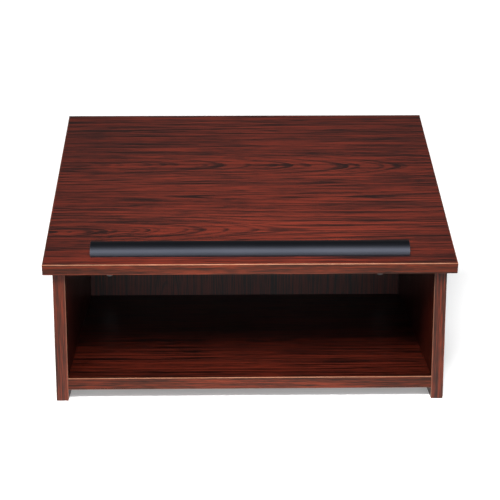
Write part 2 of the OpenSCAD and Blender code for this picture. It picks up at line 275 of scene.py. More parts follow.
class Graph(Wiring):
    """The shader nodes of one material."""

    def __init__(self, name: str) -> None:
        """Makes an empty node material with its Principled shader.

        Args:
            name: Name of the material.
        """
        self.material = bpy.data.materials.new(name)
        self.material.use_nodes = True
        super().__init__(self.material.node_tree)
        self.tree.nodes.clear()
        self.shader = self.add("ShaderNodeBsdfPrincipled")
        self.add("ShaderNodeOutputMaterial", {0: self.shader.outputs[0]})

    def surface(self, **inputs: object) -> None:
        """Fills the Principled shader; names use underscores for spaces."""
        for name, value in inputs.items():
            self.feed(self.shader.inputs[name.replace("_", " ")], value)

    def vector(self, operation: str, *values: object) -> bpy.types.NodeSocket:
        """The vector result of a Vector Math node on the values."""
        return self.add("ShaderNodeVectorMath", dict(enumerate(values)), operation=operation).outputs[0]

    def more(self, value: object, amount: object, base: object) -> bpy.types.NodeSocket:
        """Adds a value, scaled, to a base."""
        return self.math("MULTIPLY_ADD", value, amount, base)

    def swing(self, noise: object, amount: float, base: object) -> bpy.types.NodeSocket:
        """Adds a noise's swing about its middle, scaled, to a base."""
        return self.more(self.math("SUBTRACT", noise, 0.5), amount, base)

    def away(self, side: object, depth: object) -> bpy.types.NodeSocket:
        """The distance of a point that is so far to the side and so deep."""
        return self.math("SQRT", self.math("ADD", self.math("POWER", side, 2.0), self.math("POWER", depth, 2.0)))

    def steps(self, value: object, low: float, high: float, to: Point2 = (0.0, 1.0)) -> bpy.types.NodeSocket:
        """Maps the stretch from low to high smoothly onto another range."""
        ends = {"Value": value, "From Min": low, "From Max": high, "To Min": to[0], "To Max": to[1]}
        return self.add("ShaderNodeMapRange", ends, interpolation_type="SMOOTHSTEP").outputs[0]

    def blend(self, share: object, a: object, b: object, way: str = "MIX") -> bpy.types.NodeSocket:
        """Mixes a share of colour b into colour a, by a blend type."""
        return self.add("ShaderNodeMix", {0: share, 6: a, 7: b}, data_type="RGBA", blend_type=way).outputs[2]

    def noise(
        self, where: object, scale: Colour, detail: float = 2.0, rough: float = 0.5, seed: float = 0.0
    ) -> bpy.types.NodeSocket:
        """Noise with its own scale on each axis.

        Args:
            where: The point.
            scale: Cells a metre along X, Y and Z.
            detail: Octaves.
            rough: Strength of the finer octaves.
            seed: Shifts the pattern.

        Returns:
            A value around 0.5.
        """
        moved = self.vector("ADD", self.vector("MULTIPLY", where, scale), (seed, seed * 1.7, seed * 0.6))
        inputs = {"Vector": moved, "Scale": 1.0, "Detail": detail, "Roughness": rough}
        return self.add("ShaderNodeTexNoise", inputs, noise_dimensions="3D").outputs[0]

    def local(self, place: Place) -> bpy.types.NodeSocket:
        """Object coordinates seen from a place, in metres.

        Args:
            place: The place.

        Returns:
            The point in the place's frame.
        """
        spot = self.add("ShaderNodeTexCoord").outputs["Object"]
        inputs = {"Vector": spot, "Location": place.origin[:], "Rotation": place.turn.to_euler()[:]}
        return self.add("ShaderNodeMapping", inputs, vector_type="TEXTURE").outputs[0]

    def axes(self, where: object) -> tuple[bpy.types.NodeSocket, ...]:
        """Splits a point into X, Y and Z."""
        return tuple(self.add("ShaderNodeSeparateXYZ", {0: where}).outputs)

    def bump(self, height: object, depth: float, strength: float = 1.0) -> bpy.types.NodeSocket:
        """A normal bumped by a height from 0 to 1 that is depth metres deep."""
        return self.add("ShaderNodeBump", {"Height": height, "Distance": depth, "Strength": strength}).outputs[0]


# ---- Finishes


@dataclass(frozen=True)
class WoodTones:
    """The print's colours, from the lightest wood to the darkest line, as linear RGB."""

    bright: Colour = (0.081, 0.0106, 0.0052)
    body: Colour = (0.044, 0.0066, 0.0036)
    shade: Colour = (0.019, 0.0041, 0.0028)
    line: Colour = (0.007, 0.0022, 0.0018)

    def lit(self, share: float) -> "WoodTones":
        """The same tones made lighter or darker by a share; the boards use it to paint light and shade into their
        colour.
        """
        return WoodTones(*(tuple(c * share for c in tone) for tone in (self.bright, self.body, self.shade, self.line)))

    def stops(self) -> list[tuple[float, Colour]]:
        """The tones as ramp stops."""
        return [(0.08, self.bright), (0.34, self.body), (0.60, self.shade), (0.92, self.line)]


# Painted shade: the side panels take the laminate's tones darkened, standing in for the shade inside the box.
SIDE_SHADED_TONES = WoodTones().lit(0.60)
BAND_TONES = WoodTones(
    (0.094, 0.0150, 0.0060), (0.052, 0.0100, 0.0043), (0.022, 0.0062, 0.0033), (0.009, 0.0032, 0.0022)
)


@dataclass(frozen=True)
class Heart:
    """A stretch of flat-sawn grain whose arches point along local X.

    Attributes:
        across: Local Y of its middle line, in metres.
        depth: How far the log's heart lies under the face at its own middle.
        tilt: How fast that depth grows along X; small values give long arches.
        middle: Local X of its middle.
        cap: Greatest depth, beyond which the grain runs straight.
    """

    across: float
    depth: float
    tilt: float
    middle: float = 0.0
    cap: float = 0.2


class Strength(float, Enum):
    """How strongly each layer of the wood print darkens it."""

    RING = 0.66
    FINE_RING = 0.40
    FIBRE = 1.75
    STRAND = 1.35
    VEIN = 0.70
    ZONE = 0.28
    PORE = 0.25


@dataclass(frozen=True)
class GrainLaminate:
    """Wood-grain faced board: arched growth rings, fibre streaks and open pores under a satin film.

    Attributes:
        name: Name of the material.
        place: The board's frame; local X runs along the grain and Z stands on its face.
        hearts: The stretches of arched grain.
        tones: The print's colours.
        ring: Distance between growth rings, in metres.
        rough: Roughness of the film.
        gloss: Specular level of the film.
        coarse: How much wider than usual the streaks are.
        marked: How much stronger than usual they are.
        base: Darkness of the plain wood, from 0 to 1.
        seed: Shifts the pattern, so that no two boards match.
    """

    name: str
    place: Place
    hearts: tuple[Heart, ...]
    tones: WoodTones = WoodTones()
    ring: float = 0.0065
    rough: float = 0.34
    gloss: float = 0.5
    coarse: float = 1.0
    marked: float = 1.0
    base: float = 0.18
    seed: float = 0.0

    def ring_distance(self, graph: Graph, where: object) -> bpy.types.NodeSocket:
        """Distance from the nearest log heart, wandering as real rings do.

        Args:
            graph: The material's graph.
            where: The point on the board.

        Returns:
            The distance, in metres.
        """
        along, across, _ = graph.axes(where)
        sway = graph.noise(where, (2.2, 9.0, 9.0), 2.0, 0.5, self.seed)
        waver = graph.noise(where, (11.0, 60.0, 60.0), 2.0, 0.5, self.seed + 3.0)
        drift = graph.swing(sway, 0.022, across)
        bent = graph.swing(waver, 0.0032, drift)
        nearest = None
        for number, heart in enumerate(self.hearts):
            side = graph.math("SUBTRACT", bent, heart.across)
            swell = graph.noise(where, (4.0, 1.0, 1.0), 1.0, 0.5, self.seed + 11.0 * (number + 1))
            reach = graph.math("SUBTRACT", along, heart.middle)
            depth = graph.more(reach, heart.tilt, heart.depth)
            depth = graph.math("SMOOTH_MIN", depth, heart.cap, 0.012)
            depth = graph.swing(swell, 0.004, depth)
            far = graph.away(side, depth)
            nearest = far if nearest is None else graph.math("SMOOTH_MIN", nearest, far, 0.030)
        return nearest

    def lines(self, graph: Graph, distance: object, pitch: float, sharp: Point2) -> bpy.types.NodeSocket:
        """Dark late-wood lines at a pitch.

        Args:
            graph: The material's graph.
            distance: Distance from the heart.
            pitch: Distance between lines.
            sharp: Where in a ring the darkening starts and is full.

        Returns:
            Darkness from 0 to 1.
        """
        drift = graph.math("MULTIPLY", distance, 0.42 / pitch)
        uneven = graph.add("ShaderNodeTexNoise", {"W": drift, "Scale": 1.0, "Detail": 1.0}, noise_dimensions="1D")
        turns = graph.more(uneven.outputs[0], 1.4, graph.math("DIVIDE", distance, pitch))
        part = graph.math("FRACT", turns)
        rise = graph.steps(part, *sharp)
        return graph.math("MULTIPLY", rise, graph.steps(part, 1.0, sharp[1] + 0.06))

    def darkness(self, graph: Graph, where: object) -> tuple[bpy.types.NodeSocket, bpy.types.NodeSocket]:
        """How dark the print is.

        Args:
            graph: The material's graph.
            where: The point on the board.

        Returns:
            Darkness from 0 to 1, and the pores on their own.
        """
        distance = self.ring_distance(graph, where)
        wide = self.lines(graph, distance, self.ring, (0.80, 0.93))
        fine = self.lines(graph, distance, self.ring * 0.46, (0.60, 0.88))
        fade = graph.noise(where, (2.0, 40.0, 40.0), 2.0, 0.5, self.seed + 5.0)
        fade = graph.steps(fade, 0.36, 0.62, (0.35, 1.0))
        break_up = graph.noise(where, (4.0, 130.0, 130.0), 2.0, 0.6, self.seed + 6.0)
        break_up = graph.steps(break_up, 0.34, 0.60, (0.3, 1.0))
        close, loose, veined = (count / self.coarse for count in (640.0, 230.0, 165.0))
        fibre = graph.noise(where, (20.0, close, close), 3.0, 0.62, self.seed + 7.0)
        strand = graph.noise(where, (3.2, loose, loose), 3.0, 0.60, self.seed + 10.0)
        level = graph.noise(where, (2.4, veined, veined), 2.0, 0.5, self.seed + 12.0)
        vein = graph.steps(graph.math("ABSOLUTE", graph.math("SUBTRACT", level, 0.5)), 0.040, 0.006)
        zone = graph.noise(where, (1.2, 22.0, 22.0), 2.0, 0.5, self.seed + 8.0)
        pore = graph.steps(graph.noise(where, (48.0, 900.0, 900.0), 1.0, 0.4, self.seed + 9.0), 0.58, 0.70)
        total = graph.more(graph.math("MULTIPLY", wide, fade), Strength.RING, self.base)
        total = graph.more(graph.math("MULTIPLY", fine, break_up), Strength.FINE_RING, total)
        total = graph.swing(fibre, Strength.FIBRE * self.marked, total)
        total = graph.swing(strand, Strength.STRAND * self.marked, total)
        total = graph.more(graph.math("MULTIPLY", vein, break_up), Strength.VEIN * self.marked, total)
        total = graph.swing(zone, Strength.ZONE, total)
        total = graph.more(pore, Strength.PORE, total)
        return total, pore

    def build(self) -> bpy.types.Material:
        """Makes the material.

        Returns:
            The material.
        """
        graph = Graph(self.name)
        where = graph.local(self.place)
        dark, pore = self.darkness(graph, where)
        colour = graph.ramp(dark, self.tones.stops())
        mottle = graph.noise(where, (5.0, 18.0, 18.0), 2.0, 0.5, self.seed + 13.0)
        shade = graph.ramp(mottle, [(0.3, (0.90, 0.88, 0.88)), (0.7, (1.08, 1.1, 1.1))])
        colour = graph.blend(1.0, colour, shade, "MULTIPLY")
        smear = graph.noise(where, (9.0, 14.0, 14.0), 3.0, 0.6, self.seed + 15.0)
        rough = graph.swing(smear, 0.10, self.rough)
        rough = graph.more(pore, 0.10, rough)
        height = graph.math("SUBTRACT", 1.0, graph.more(pore, 0.7, graph.math("MULTIPLY", dark, 0.3)))
        graph.surface(
            Base_Color=colour, Roughness=rough, Specular_IOR_Level=self.gloss, Normal=graph.bump(height, 0.05 * MM, 0.5)
        )
        return graph.material


@dataclass(frozen=True)
class BandFilm:
    """Wood-grain edge band: straight fine streaks, and a lighter line along its arrises, partly the trimmed band's own
    lighter colour and partly a painted highlight where the arris faces the light.

    Attributes:
        name: Name of the material.
        place: The band's frame: X along it, Y across it, Z out of the board, at its outer face.
        width: The band's width, which is the board's thickness.
        tones: The print's colours.
        trim: Width of the light line, partly trimmed colour and partly painted highlight.
        trim_top: Strength of the line on the +Y arris.
        trim_foot: Strength of the line on the -Y arris.
        gloss: Specular level of the film.
        seed: Shifts the pattern.
    """

    name: str
    place: Place
    width: float
    tones: WoodTones = WoodTones()
    trim: float = 0.0010
    trim_top: float = 1.0
    trim_foot: float = 0.35
    gloss: float = 0.2
    seed: float = 0.0

    def trimmed_line(self, graph: Graph, where: object) -> bpy.types.NodeSocket:
        """The light line along both outer arrises: partly the trimmed band's own lighter colour, partly a painted
        highlight set per arris by how much light falls on it.

        Args:
            graph: The material's graph.
            where: The point in the band's frame.

        Returns:
            The line's strength.
        """
        _, across, out = graph.axes(where)
        ragged = graph.noise(where, (160.0, 40.0, 40.0), 3.0, 0.6, self.seed + 2.0)
        reach = graph.swing(ragged, self.trim * 0.6, self.trim)
        total: object = 0.0
        # Painted highlight: each arris's strength says how much light falls on it.
        for sign, strength in ((1.0, self.trim_top), (-1.0, self.trim_foot)):
            side = graph.math("SUBTRACT", across, sign * self.width / 2)
            far = graph.away(side, out)
            near = graph.steps(graph.math("DIVIDE", far, reach), 1.15, 0.75, (0.0, strength))
            total = graph.math("MAXIMUM", total, near)
        return total

    def build(self) -> bpy.types.Material:
        """Makes the material.

        Returns:
            The material.
        """
        graph = Graph(self.name)
        where = graph.local(self.place)
        wide = graph.noise(where, (4.0, 220.0, 30.0), 2.0, 0.5, self.seed)
        streak = graph.noise(where, (9.0, 440.0, 60.0), 3.0, 0.6, self.seed + 1.0)
        fleck = graph.noise(where, (60.0, 1500.0, 90.0), 2.0, 0.5, self.seed + 4.0)
        dark = graph.swing(wide, 0.4, 0.41)
        dark = graph.swing(streak, 1.9, dark)
        dark = graph.swing(fleck, 1.3, dark)
        colour = graph.ramp(dark, self.tones.stops())
        line = self.trimmed_line(graph, where)
        # The lighter colour of the trimmed arrises, which also paints their highlight.
        bare = graph.ramp(fleck, [(0.35, (0.14, 0.060, 0.034)), (0.65, (0.20, 0.092, 0.056))])
        colour = graph.blend(line, colour, bare)
        rough = graph.more(line, 0.12, graph.more(streak, 0.14, 0.36))
        graph.surface(
            Base_Color=colour, Roughness=rough, Specular_IOR_Level=self.gloss, Normal=graph.bump(streak, 0.03 * MM, 0.5)
        )
        return graph.material


@dataclass(frozen=True)
class CoatedAluminium:
    """Satin dark blue-black coating on a drawn profile: fine draw lines along it, worn a little on its ends.

    Attributes:
        name: Name of the material.
        place: The profile's frame, X along it.
        half: Half its length, for the bare line at its cut ends.
    """

    name: str
    place: Place
    half: float

    def build(self) -> bpy.types.Material:
        """Makes the material.

        Returns:
            The material.
        """
        graph = Graph(self.name)
        where = graph.local(self.place)
        along, _, _ = graph.axes(where)
        drawn = graph.noise(where, (4.0, 2600.0, 2600.0), 2.0, 0.6, 1.0)
        cloud = graph.noise(where, (14.0, 60.0, 60.0), 3.0, 0.6, 2.0)
        grit = graph.noise(where, (2500.0, 2500.0, 2500.0), 2.0, 0.5, 3.0)
        tone = graph.swing(drawn, 0.7, cloud)
        colour = graph.ramp(tone, [(0.25, (0.060, 0.065, 0.082)), (0.75, (0.074, 0.079, 0.098))])
        cut = graph.steps(graph.math("ABSOLUTE", along), self.half - 0.5 * MM, self.half - 0.1 * MM)
        colour = graph.blend(graph.math("MULTIPLY", cut, 0.75), colour, (0.30, 0.31, 0.34))
        rough = graph.swing(cloud, 0.08, 0.30)
        rough = graph.swing(grit, 0.08, rough)
        graph.surface(
            Base_Color=colour,
            Roughness=rough,
            Metallic=1.0,
            Normal=graph.bump(graph.more(drawn, 0.6, grit), 0.01 * MM, 0.15),
        )
        return graph.material


@dataclass(frozen=True)
class MouldedPlastic:
    """Black moulded plastic with spark-eroded grain and a little dust in it.

    Attributes:
        name: Name of the material.
    """

    name: str

    def build(self) -> bpy.types.Material:
        """Makes the material.

        Returns:
            The material.
        """
        graph = Graph(self.name)
        where = graph.local(OWN_FRAME)
        grain = graph.noise(where, (2200.0, 2200.0, 2200.0), 3.0, 0.6, 1.0)
        cloud = graph.noise(where, (90.0, 90.0, 90.0), 3.0, 0.6, 2.0)
        colour = graph.ramp(cloud, [(0.3, (0.010, 0.010, 0.013)), (0.7, (0.022, 0.022, 0.026))])
        rough = graph.more(grain, 0.2, 0.48)
        graph.surface(Base_Color=colour, Roughness=rough, Normal=graph.bump(grain, 0.04 * MM, 0.7))
        return graph.material


@dataclass(frozen=True)
class BareMetal:
    """A bare or plated metal with cloudy tone, fine grain and scratches.

    Attributes:
        name: Name of the material.
        bright: Its lighter tone.
        dull: Its darker tone.
        rough: Its mean roughness.
        grain: Cells of its surface grain, a metre.
        depth: Depth of that grain.
    """

    name: str
    bright: Colour
    dull: Colour
    rough: float
    grain: float = 1400.0
    depth: float = 0.03 * MM

    def build(self) -> bpy.types.Material:
        """Makes the material.

        Returns:
            The material.
        """
        graph = Graph(self.name)
        where = graph.local(OWN_FRAME)
        cloud = graph.noise(where, (120.0, 120.0, 120.0), 4.0, 0.6, 1.0)
        cast = graph.noise(where, (self.grain,) * 3, 3.0, 0.6, 2.0)
        scratch = graph.noise(where, (260.0, 4200.0, 900.0), 2.0, 0.5, 3.0)
        colour = graph.ramp(cloud, [(0.3, self.dull), (0.7, self.bright)])
        rough = graph.swing(cloud, 0.25, self.rough)
        rough = graph.more(graph.steps(scratch, 0.58, 0.66), 0.15, rough)
        height = graph.more(scratch, 0.4, cast)
        graph.surface(Base_Color=colour, Metallic=1.0, Roughness=rough, Normal=graph.bump(height, self.depth, 0.6))
        return graph.material


@dataclass(frozen=True)
class Beech:
    """Plain beech of a turned dowel: pale, with short dark flecks and fine fibres.

    Attributes:
        name: Name of the material.
        place: A frame whose X runs along the dowels.
    """

    name: str
    place: Place

    def build(self) -> bpy.types.Material:
        """Makes the material.

        Returns:
            The material.
        """
        graph = Graph(self.name)
        where = graph.local(self.place)
        fibre = graph.noise(where, (60.0, 1500.0, 1500.0), 3.0, 0.6, 1.0)
        fleck = graph.steps(graph.noise(where, (300.0, 1800.0, 1800.0), 1.0, 0.4, 2.0), 0.62, 0.70)
        colour = graph.ramp(fibre, [(0.3, (0.50, 0.31, 0.15)), (0.7, (0.66, 0.45, 0.25))])
        colour = graph.blend(graph.math("MULTIPLY", fleck, 0.6), colour, (0.30, 0.16, 0.07))
        graph.surface(Base_Color=colour, Roughness=0.68, Normal=graph.bump(fibre, 0.08 * MM, 0.6))
        return graph.material


@dataclass(frozen=True)
class StudioPaper:
    """Plain pale floor, lit a little from behind, with the faint cloudiness of paper.

    Attributes:
        name: Name of the material.
        glow: Strength of the light from behind.
    """

    name: str
    glow: float = 0.28

    def build(self) -> bpy.types.Material:
        """Makes the material.

        Returns:
            The material.
        """
        graph = Graph(self.name)
        where = graph.local(OWN_FRAME)
        cloud = graph.noise(where, (1.5, 1.5, 1.5), 2.0, 0.5, 1.0)
        colour = graph.ramp(cloud, [(0.3, (0.93, 0.93, 0.93)), (0.7, (0.95, 0.95, 0.95))])
        graph.surface(
            Base_Color=colour, Roughness=0.9, Specular_IOR_Level=0.0, Emission_Color=colour, Emission_Strength=self.glow
        )
        return graph.material


# ---- Mesh work


def add_piece(name: str, mesh: bpy.types.Mesh, finish: bpy.types.Material) -> bpy.types.Object:
    """Puts a mesh in the scene with its finish.

    Args:
        name: Name of the piece.
        mesh: Its mesh, in object coordinates.
        finish: Its material.

    Returns:
        The piece's object, at the origin.
    """
    mesh.materials.clear()
    mesh.materials.append(finish)
    piece = bpy.data.objects.new(name, mesh)
    bpy.context.scene.collection.objects.link(piece)
    return piece


def seat_piece(piece: bpy.types.Object, body: str, slot: str, *nodes: str) -> None:
    """Rides a finished piece on its body and hides the CAD nodes that it stands for.

    Args:
        piece: The piece.
        body: The CAD body that it moves with.
        slot: The record's material slot; not used.
        *nodes: The CAD nodes that it replaces.
    """
    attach(piece, body)
    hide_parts(*nodes)
    LOG.info("%s: %d faces on %s", piece.name, len(piece.data.polygons), body)


def dress_node(node: str, finish: bpy.types.Material) -> None:
    """Gives a CAD node its finish.

    Args:
        node: Name of the node.
        finish: Its material.
    """
    solid = frame["nodes"][node]
    solid.data.materials.clear()
    solid.data.materials.append(finish)
    LOG.info("%s: %s", node, finish.name)


def mesh_of(bm: bmesh.types.BMesh, name: str, smooth: Optional[float] = None) -> bpy.types.Mesh:
    """Turns a bmesh into a clean mesh with its faces outwards.

    Args:
        bm: The bmesh, which is freed.
        name: Name of the mesh.
        smooth: Corners under this angle, in degrees, are shaded round.

    Returns:
        The mesh.
    """
    bmesh.ops.remove_doubles(bm, verts=bm.verts, dist=WELD)
    bmesh.ops.recalc_face_normals(bm, faces=bm.faces)
    mesh = bpy.data.meshes.new(name)
    bm.to_mesh(mesh)
    bm.free()
    if smooth is not None:
        mesh.polygons.foreach_set("use_smooth", [True] * len(mesh.polygons))
        mesh.set_sharp_from_angle(angle=math.radians(smooth))
    return mesh


def arc(centre: Point2, radius: float, start: float, end: float, steps: int) -> list[Point2]:
    """Points along an arc.

    Args:
        centre: Its centre.
        radius: Its radius.
        start: First angle, in degrees.
        end: Last angle, in degrees.
        steps: Number of stretches.

    Returns:
        The points, both ends included.
    """
    angles = [math.radians(start + (end - start) * i / steps) for i in range(steps + 1)]
    return [(centre[0] + radius * math.cos(a), centre[1] + radius * math.sin(a)) for a in angles]


def bridged(bm: bmesh.types.BMesh, rings: Sequence[Sequence[bmesh.types.BMVert]]) -> bmesh.types.BMesh:
    """Joins rings of corners into a solid with flat ends.

    Args:
        bm: The bmesh that holds the corners.
        rings: The rings, in order, with as many corners each.

    Returns:
        The same bmesh.
    """
    count = len(rings[0])
    for a, b in zip(rings, rings[1:]):
        for i in range(count):
            bm.faces.new((a[i], a[(i + 1) % count], b[(i + 1) % count], b[i]))
    bm.faces.new(rings[0])
    bm.faces.new(list(reversed(rings[-1])))
    return bm


def swept(outline: Sequence[Point2], stations: Sequence[tuple[float, float]], place: Place) -> bmesh.types.BMesh:
    """Sweeps a closed outline along local X, with flat ends.

    Args:
        outline: Points in local Y and Z, in order.
        stations: Where along X, and how much the outline is drawn in there.
        place: The sweep's frame.

    Returns:
        The solid as a bmesh.
    """
    bm = bmesh.new()
    mid_y = (min(p[0] for p in outline) + max(p[0] for p in outline)) / 2
    mid_z = (min(p[1] for p in outline) + max(p[1] for p in outline)) / 2
    rings = []
    for x, draw in stations:
        ring = []
        for y, z in outline:
            away = max(math.hypot(y - mid_y, z - mid_z), ON_AXIS)
            share = 1.0 - draw / away
            ring.append(bm.verts.new(place.at(x, mid_y + (y - mid_y) * share, mid_z + (z - mid_z) * share)))
        rings.append(ring)
    return bridged(bm, rings)


def turned(profile: Sequence[Point2], name: str, sides: int = 48, smooth: float = 40.0) -> bpy.types.Mesh:
    """Turns a profile round local Z, as on a lathe.

    Args:
        profile: Radius and height, from the foot's axis to the head's axis.
        name: Name of the mesh.
        sides: Number of facets round it.
        smooth: Corners under this angle are shaded round.

    Returns:
        The turned mesh.
    """
    bm = bmesh.new()
    rings = []
    for radius, height in profile:
        if radius < ON_AXIS:
            rings.append([bm.verts.new((0, 0, height))])
            continue
        steps = [2 * math.pi * i / sides for i in range(sides)]
        rings.append([bm.verts.new((radius * math.cos(a), radius * math.sin(a), height)) for a in steps])
    for a, b in zip(rings, rings[1:]):
        for i in range(sides):
            j = (i + 1) % sides
            corners = [a[i % len(a)], a[j % len(a)], b[j % len(b)], b[i % len(b)]]
            bm.faces.new(list(dict.fromkeys(corners)))
    return mesh_of(bm, name, smooth)


def block(low: Vector, high: Vector, turn: Matrix = Matrix.Identity(4)) -> bmesh.types.BMesh:
    """A box between two corners, turned about the origin.

    Args:
        low: Its lowest corner before it is turned.
        high: Its highest corner.
        turn: The turn.

    Returns:
        The box.
    """
    bm = bmesh.new()
    bmesh.ops.create_cube(bm, size=1.0)
    bmesh.ops.scale(bm, vec=high - low, verts=bm.verts)
    bmesh.ops.translate(bm, vec=middle(low, high), verts=bm.verts)
    bmesh.ops.transform(bm, matrix=turn, verts=bm.verts)
    return bm


def rod(radius: float, start: Vector, end: Vector, sides: int = 48) -> bmesh.types.BMesh:
    """A cylinder between two points.

    Args:
        radius: Its radius.
        start: Middle of one end.
        end: Middle of the other end.
        sides: Number of facets round it.

    Returns:
        The cylinder.
    """
    bm = bmesh.new()
    way = end - start
    bmesh.ops.create_cone(bm, cap_ends=True, segments=sides, radius1=radius, radius2=radius, depth=way.length)
    turn = way.to_track_quat("Z", "Y").to_matrix().to_4x4()
    bmesh.ops.transform(bm, matrix=Matrix.Translation(middle(start, end)) @ turn, verts=bm.verts)
    return bm


def crossed(arm: float, half: float, heights: Point2, first: float = 0.0) -> list[bmesh.types.BMesh]:
    """The two bars of a driver cross.

    Args:
        arm: Half the length of a bar.
        half: Half its width.
        heights: Where it starts and ends along Z.
        first: Angle of the first bar, in degrees.

    Returns:
        The bars.
    """
    low, high = Vector((-arm, -half, heights[0])), Vector((arm, half, heights[1]))
    return [block(low, high, Matrix.Rotation(math.radians(angle), 4, "Z")) for angle in (first, first + 90.0)]


def carved(body: bpy.types.Mesh, cutters: Iterable[bmesh.types.BMesh], name: str, smooth: float) -> bpy.types.Mesh:
    """Cuts shapes out of a body.

    Args:
        body: The mesh to cut.
        cutters: The shapes to take away, which are freed.
        name: Name of the new mesh.
        smooth: Corners under this angle are shaded round.

    Returns:
        The carved mesh.
    """
    work = bpy.data.objects.new(name, body)
    bpy.context.scene.collection.objects.link(work)
    tools = []
    for number, cutter in enumerate(cutters):
        tool = bpy.data.objects.new(f"{name}_tool_{number}", mesh_of(cutter, f"{name}_tool_{number}"))
        bpy.context.scene.collection.objects.link(tool)
        tools.append(tool)
        cut = work.modifiers.new(tool.name, "BOOLEAN")
        cut.operation = "DIFFERENCE"
        cut.solver = "EXACT"
        cut.object = tool
    mesh = bpy.data.meshes.new_from_object(work.evaluated_get(bpy.context.evaluated_depsgraph_get()))
    mesh.name = name
    for leftover in (work, *tools):
        bpy.data.objects.remove(leftover)
    mesh.polygons.foreach_set("use_smooth", [True] * len(mesh.polygons))
    mesh.set_sharp_from_angle(angle=math.radians(smooth))
    return mesh


# ---- Geometry Nodes


class PartTree(Wiring):
    """A Geometry Nodes tree with named inputs, run on a set of seats and turned into a mesh."""

    def __init__(self, name: str) -> None:
        """Makes a tree whose first input is the seats.

        Args:
            name: Name of the tree.
        """
        super().__init__(bpy.data.node_groups.new(name, "GeometryNodeTree"))
        self.keys: dict[str, str] = {}
        self.tree.interface.new_socket("Seats", in_out="INPUT", socket_type="NodeSocketGeometry")
        self.tree.interface.new_socket("Parts", in_out="OUTPUT", socket_type="NodeSocketGeometry")
        self.source = self.add("NodeGroupInput")
        self.sink = self.add("NodeGroupOutput")

    def size(self, name: str, kind: str = "NodeSocketFloat") -> bpy.types.NodeSocket:
        """Adds a named input.

        Args:
            name: Its name.
            kind: Its socket type.

        Returns:
            The socket that carries it inside the tree.
        """
        self.keys[name] = self.tree.interface.new_socket(name, in_out="INPUT", socket_type=kind).identifier
        return self.source.outputs[name]

    def seated(self, part: bpy.types.NodeSocket) -> None:
        """Ends the tree: a copy of the part on each seat, realized and in its finish.

        Args:
            part: The geometry of one part, in its seat's frame.
        """
        finish = self.size("Finish", "NodeSocketMaterial")
        named = self.add("GeometryNodeInputNamedAttribute", {"Name": "turn"}, data_type="FLOAT_VECTOR")
        turn = self.add("FunctionNodeEulerToRotation", {0: named.outputs[0]})
        points = self.add("GeometryNodeMeshToPoints", {"Mesh": self.source.outputs["Seats"]})
        copies = self.add(
            "GeometryNodeInstanceOnPoints",
            {"Points": points.outputs[0], "Instance": part, "Rotation": turn.outputs[0]},
        )
        real = self.add("GeometryNodeRealizeInstances", {0: copies.outputs[0]})
        done = self.add("GeometryNodeSetMaterial", {"Geometry": real.outputs[0], "Material": finish})
        self.feed(self.sink.inputs[0], done.outputs[0])

    def run(self, name: str, seats: Sequence[Place], **inputs: object) -> bpy.types.Mesh:
        """Runs the tree on seats and keeps the result as a plain mesh.

        Args:
            name: Name of the mesh.
            seats: Where the parts go.
            **inputs: The named inputs, with underscores for spaces.

        Returns:
            The mesh, in object coordinates.
        """
        marks = bpy.data.meshes.new(name + "_seats")
        marks.from_pydata([seat.origin for seat in seats], [], [])
        turns = marks.attributes.new("turn", "FLOAT_VECTOR", "POINT")
        for item, seat in zip(turns.data, seats):
            item.vector = seat.turn.to_euler()
        holder = bpy.data.objects.new(name + "_seats", marks)
        bpy.context.scene.collection.objects.link(holder)
        modifier = holder.modifiers.new(name, "NODES")
        modifier.node_group = self.tree
        for key, value in inputs.items():
            modifier[self.keys[key.replace("_", " ")]] = value
        mesh = bpy.data.meshes.new_from_object(holder.evaluated_get(bpy.context.evaluated_depsgraph_get()))
        mesh.name = name
        holder.modifiers.remove(modifier)
        bpy.data.objects.remove(holder)
        return mesh


def thread_of(tree: PartTree, start: bpy.types.NodeSocket) -> bpy.types.NodeSocket:
    """Adds a screw thread: a sharp ridge on a helix round Z.

    Args:
        tree: The tree, which gets inputs for the thread's sizes.
        start: Height at which the thread begins.

    Returns:
        The thread's geometry.
    """
    core, ridge, length, pitch = (tree.size(name) for name in ("Core Radius", "Ridge", "Thread Length", "Pitch"))
    helix = tree.add(
        "GeometryNodeCurveSpiral",
        {
            "Resolution": 20,
            "Rotations": tree.math("DIVIDE", length, pitch),
            "Start Radius": core,
            "End Radius": core,
            "Height": length,
            "Reverse": False,
        },
    )
    edge = tree.add("GeometryNodeCurvePrimitiveCircle", {"Resolution": 3, "Radius": ridge}, mode="RADIUS")
    swept_edge = tree.add(
        "GeometryNodeCurveToMesh", {0: helix.outputs[0], 1: edge.outputs[0], "Fill Caps": True}
    )
    lift = tree.add("ShaderNodeCombineXYZ", {2: start})
    moved = tree.add("GeometryNodeTransform", {"Geometry": swept_edge.outputs[0], "Translation": lift.outputs[0]})
    return moved.outputs[0]


def threaded_set(name: str, body: bpy.types.Mesh, groups: dict[str, list[Place]], slot: str, **sizes: object) -> None:
    """Puts threaded fasteners on their seats: a turned body with a thread round it.

    Args:
        name: Name of the tree.
        body: A fastener without its thread.
        groups: The seats of each node's fasteners.
        slot: The record's material slot.
        **sizes: The tree's other inputs, with underscores for spaces.
    """
    pattern = bpy.data.objects.new(body.name, body)
    tree = PartTree(name)
    shape = tree.add("GeometryNodeObjectInfo", {"Object": tree.size("Body", "NodeSocketObject")})
    thread = thread_of(tree, tree.size("Thread Start"))
    both = tree.add("GeometryNodeJoinGeometry")
    for part in (shape.outputs["Geometry"], thread):
        tree.feed(both.inputs[0], part)
    tree.seated(both.outputs[0])
    for node, seats in groups.items():
        mesh = tree.run("set_of_" + node, seats, Body=pattern, **sizes)
        seat_piece(add_piece("set_of_" + node, mesh, sizes["Finish"]), CARCASS, slot, node)
    bpy.data.objects.remove(pattern)


# ---- Boards and bands


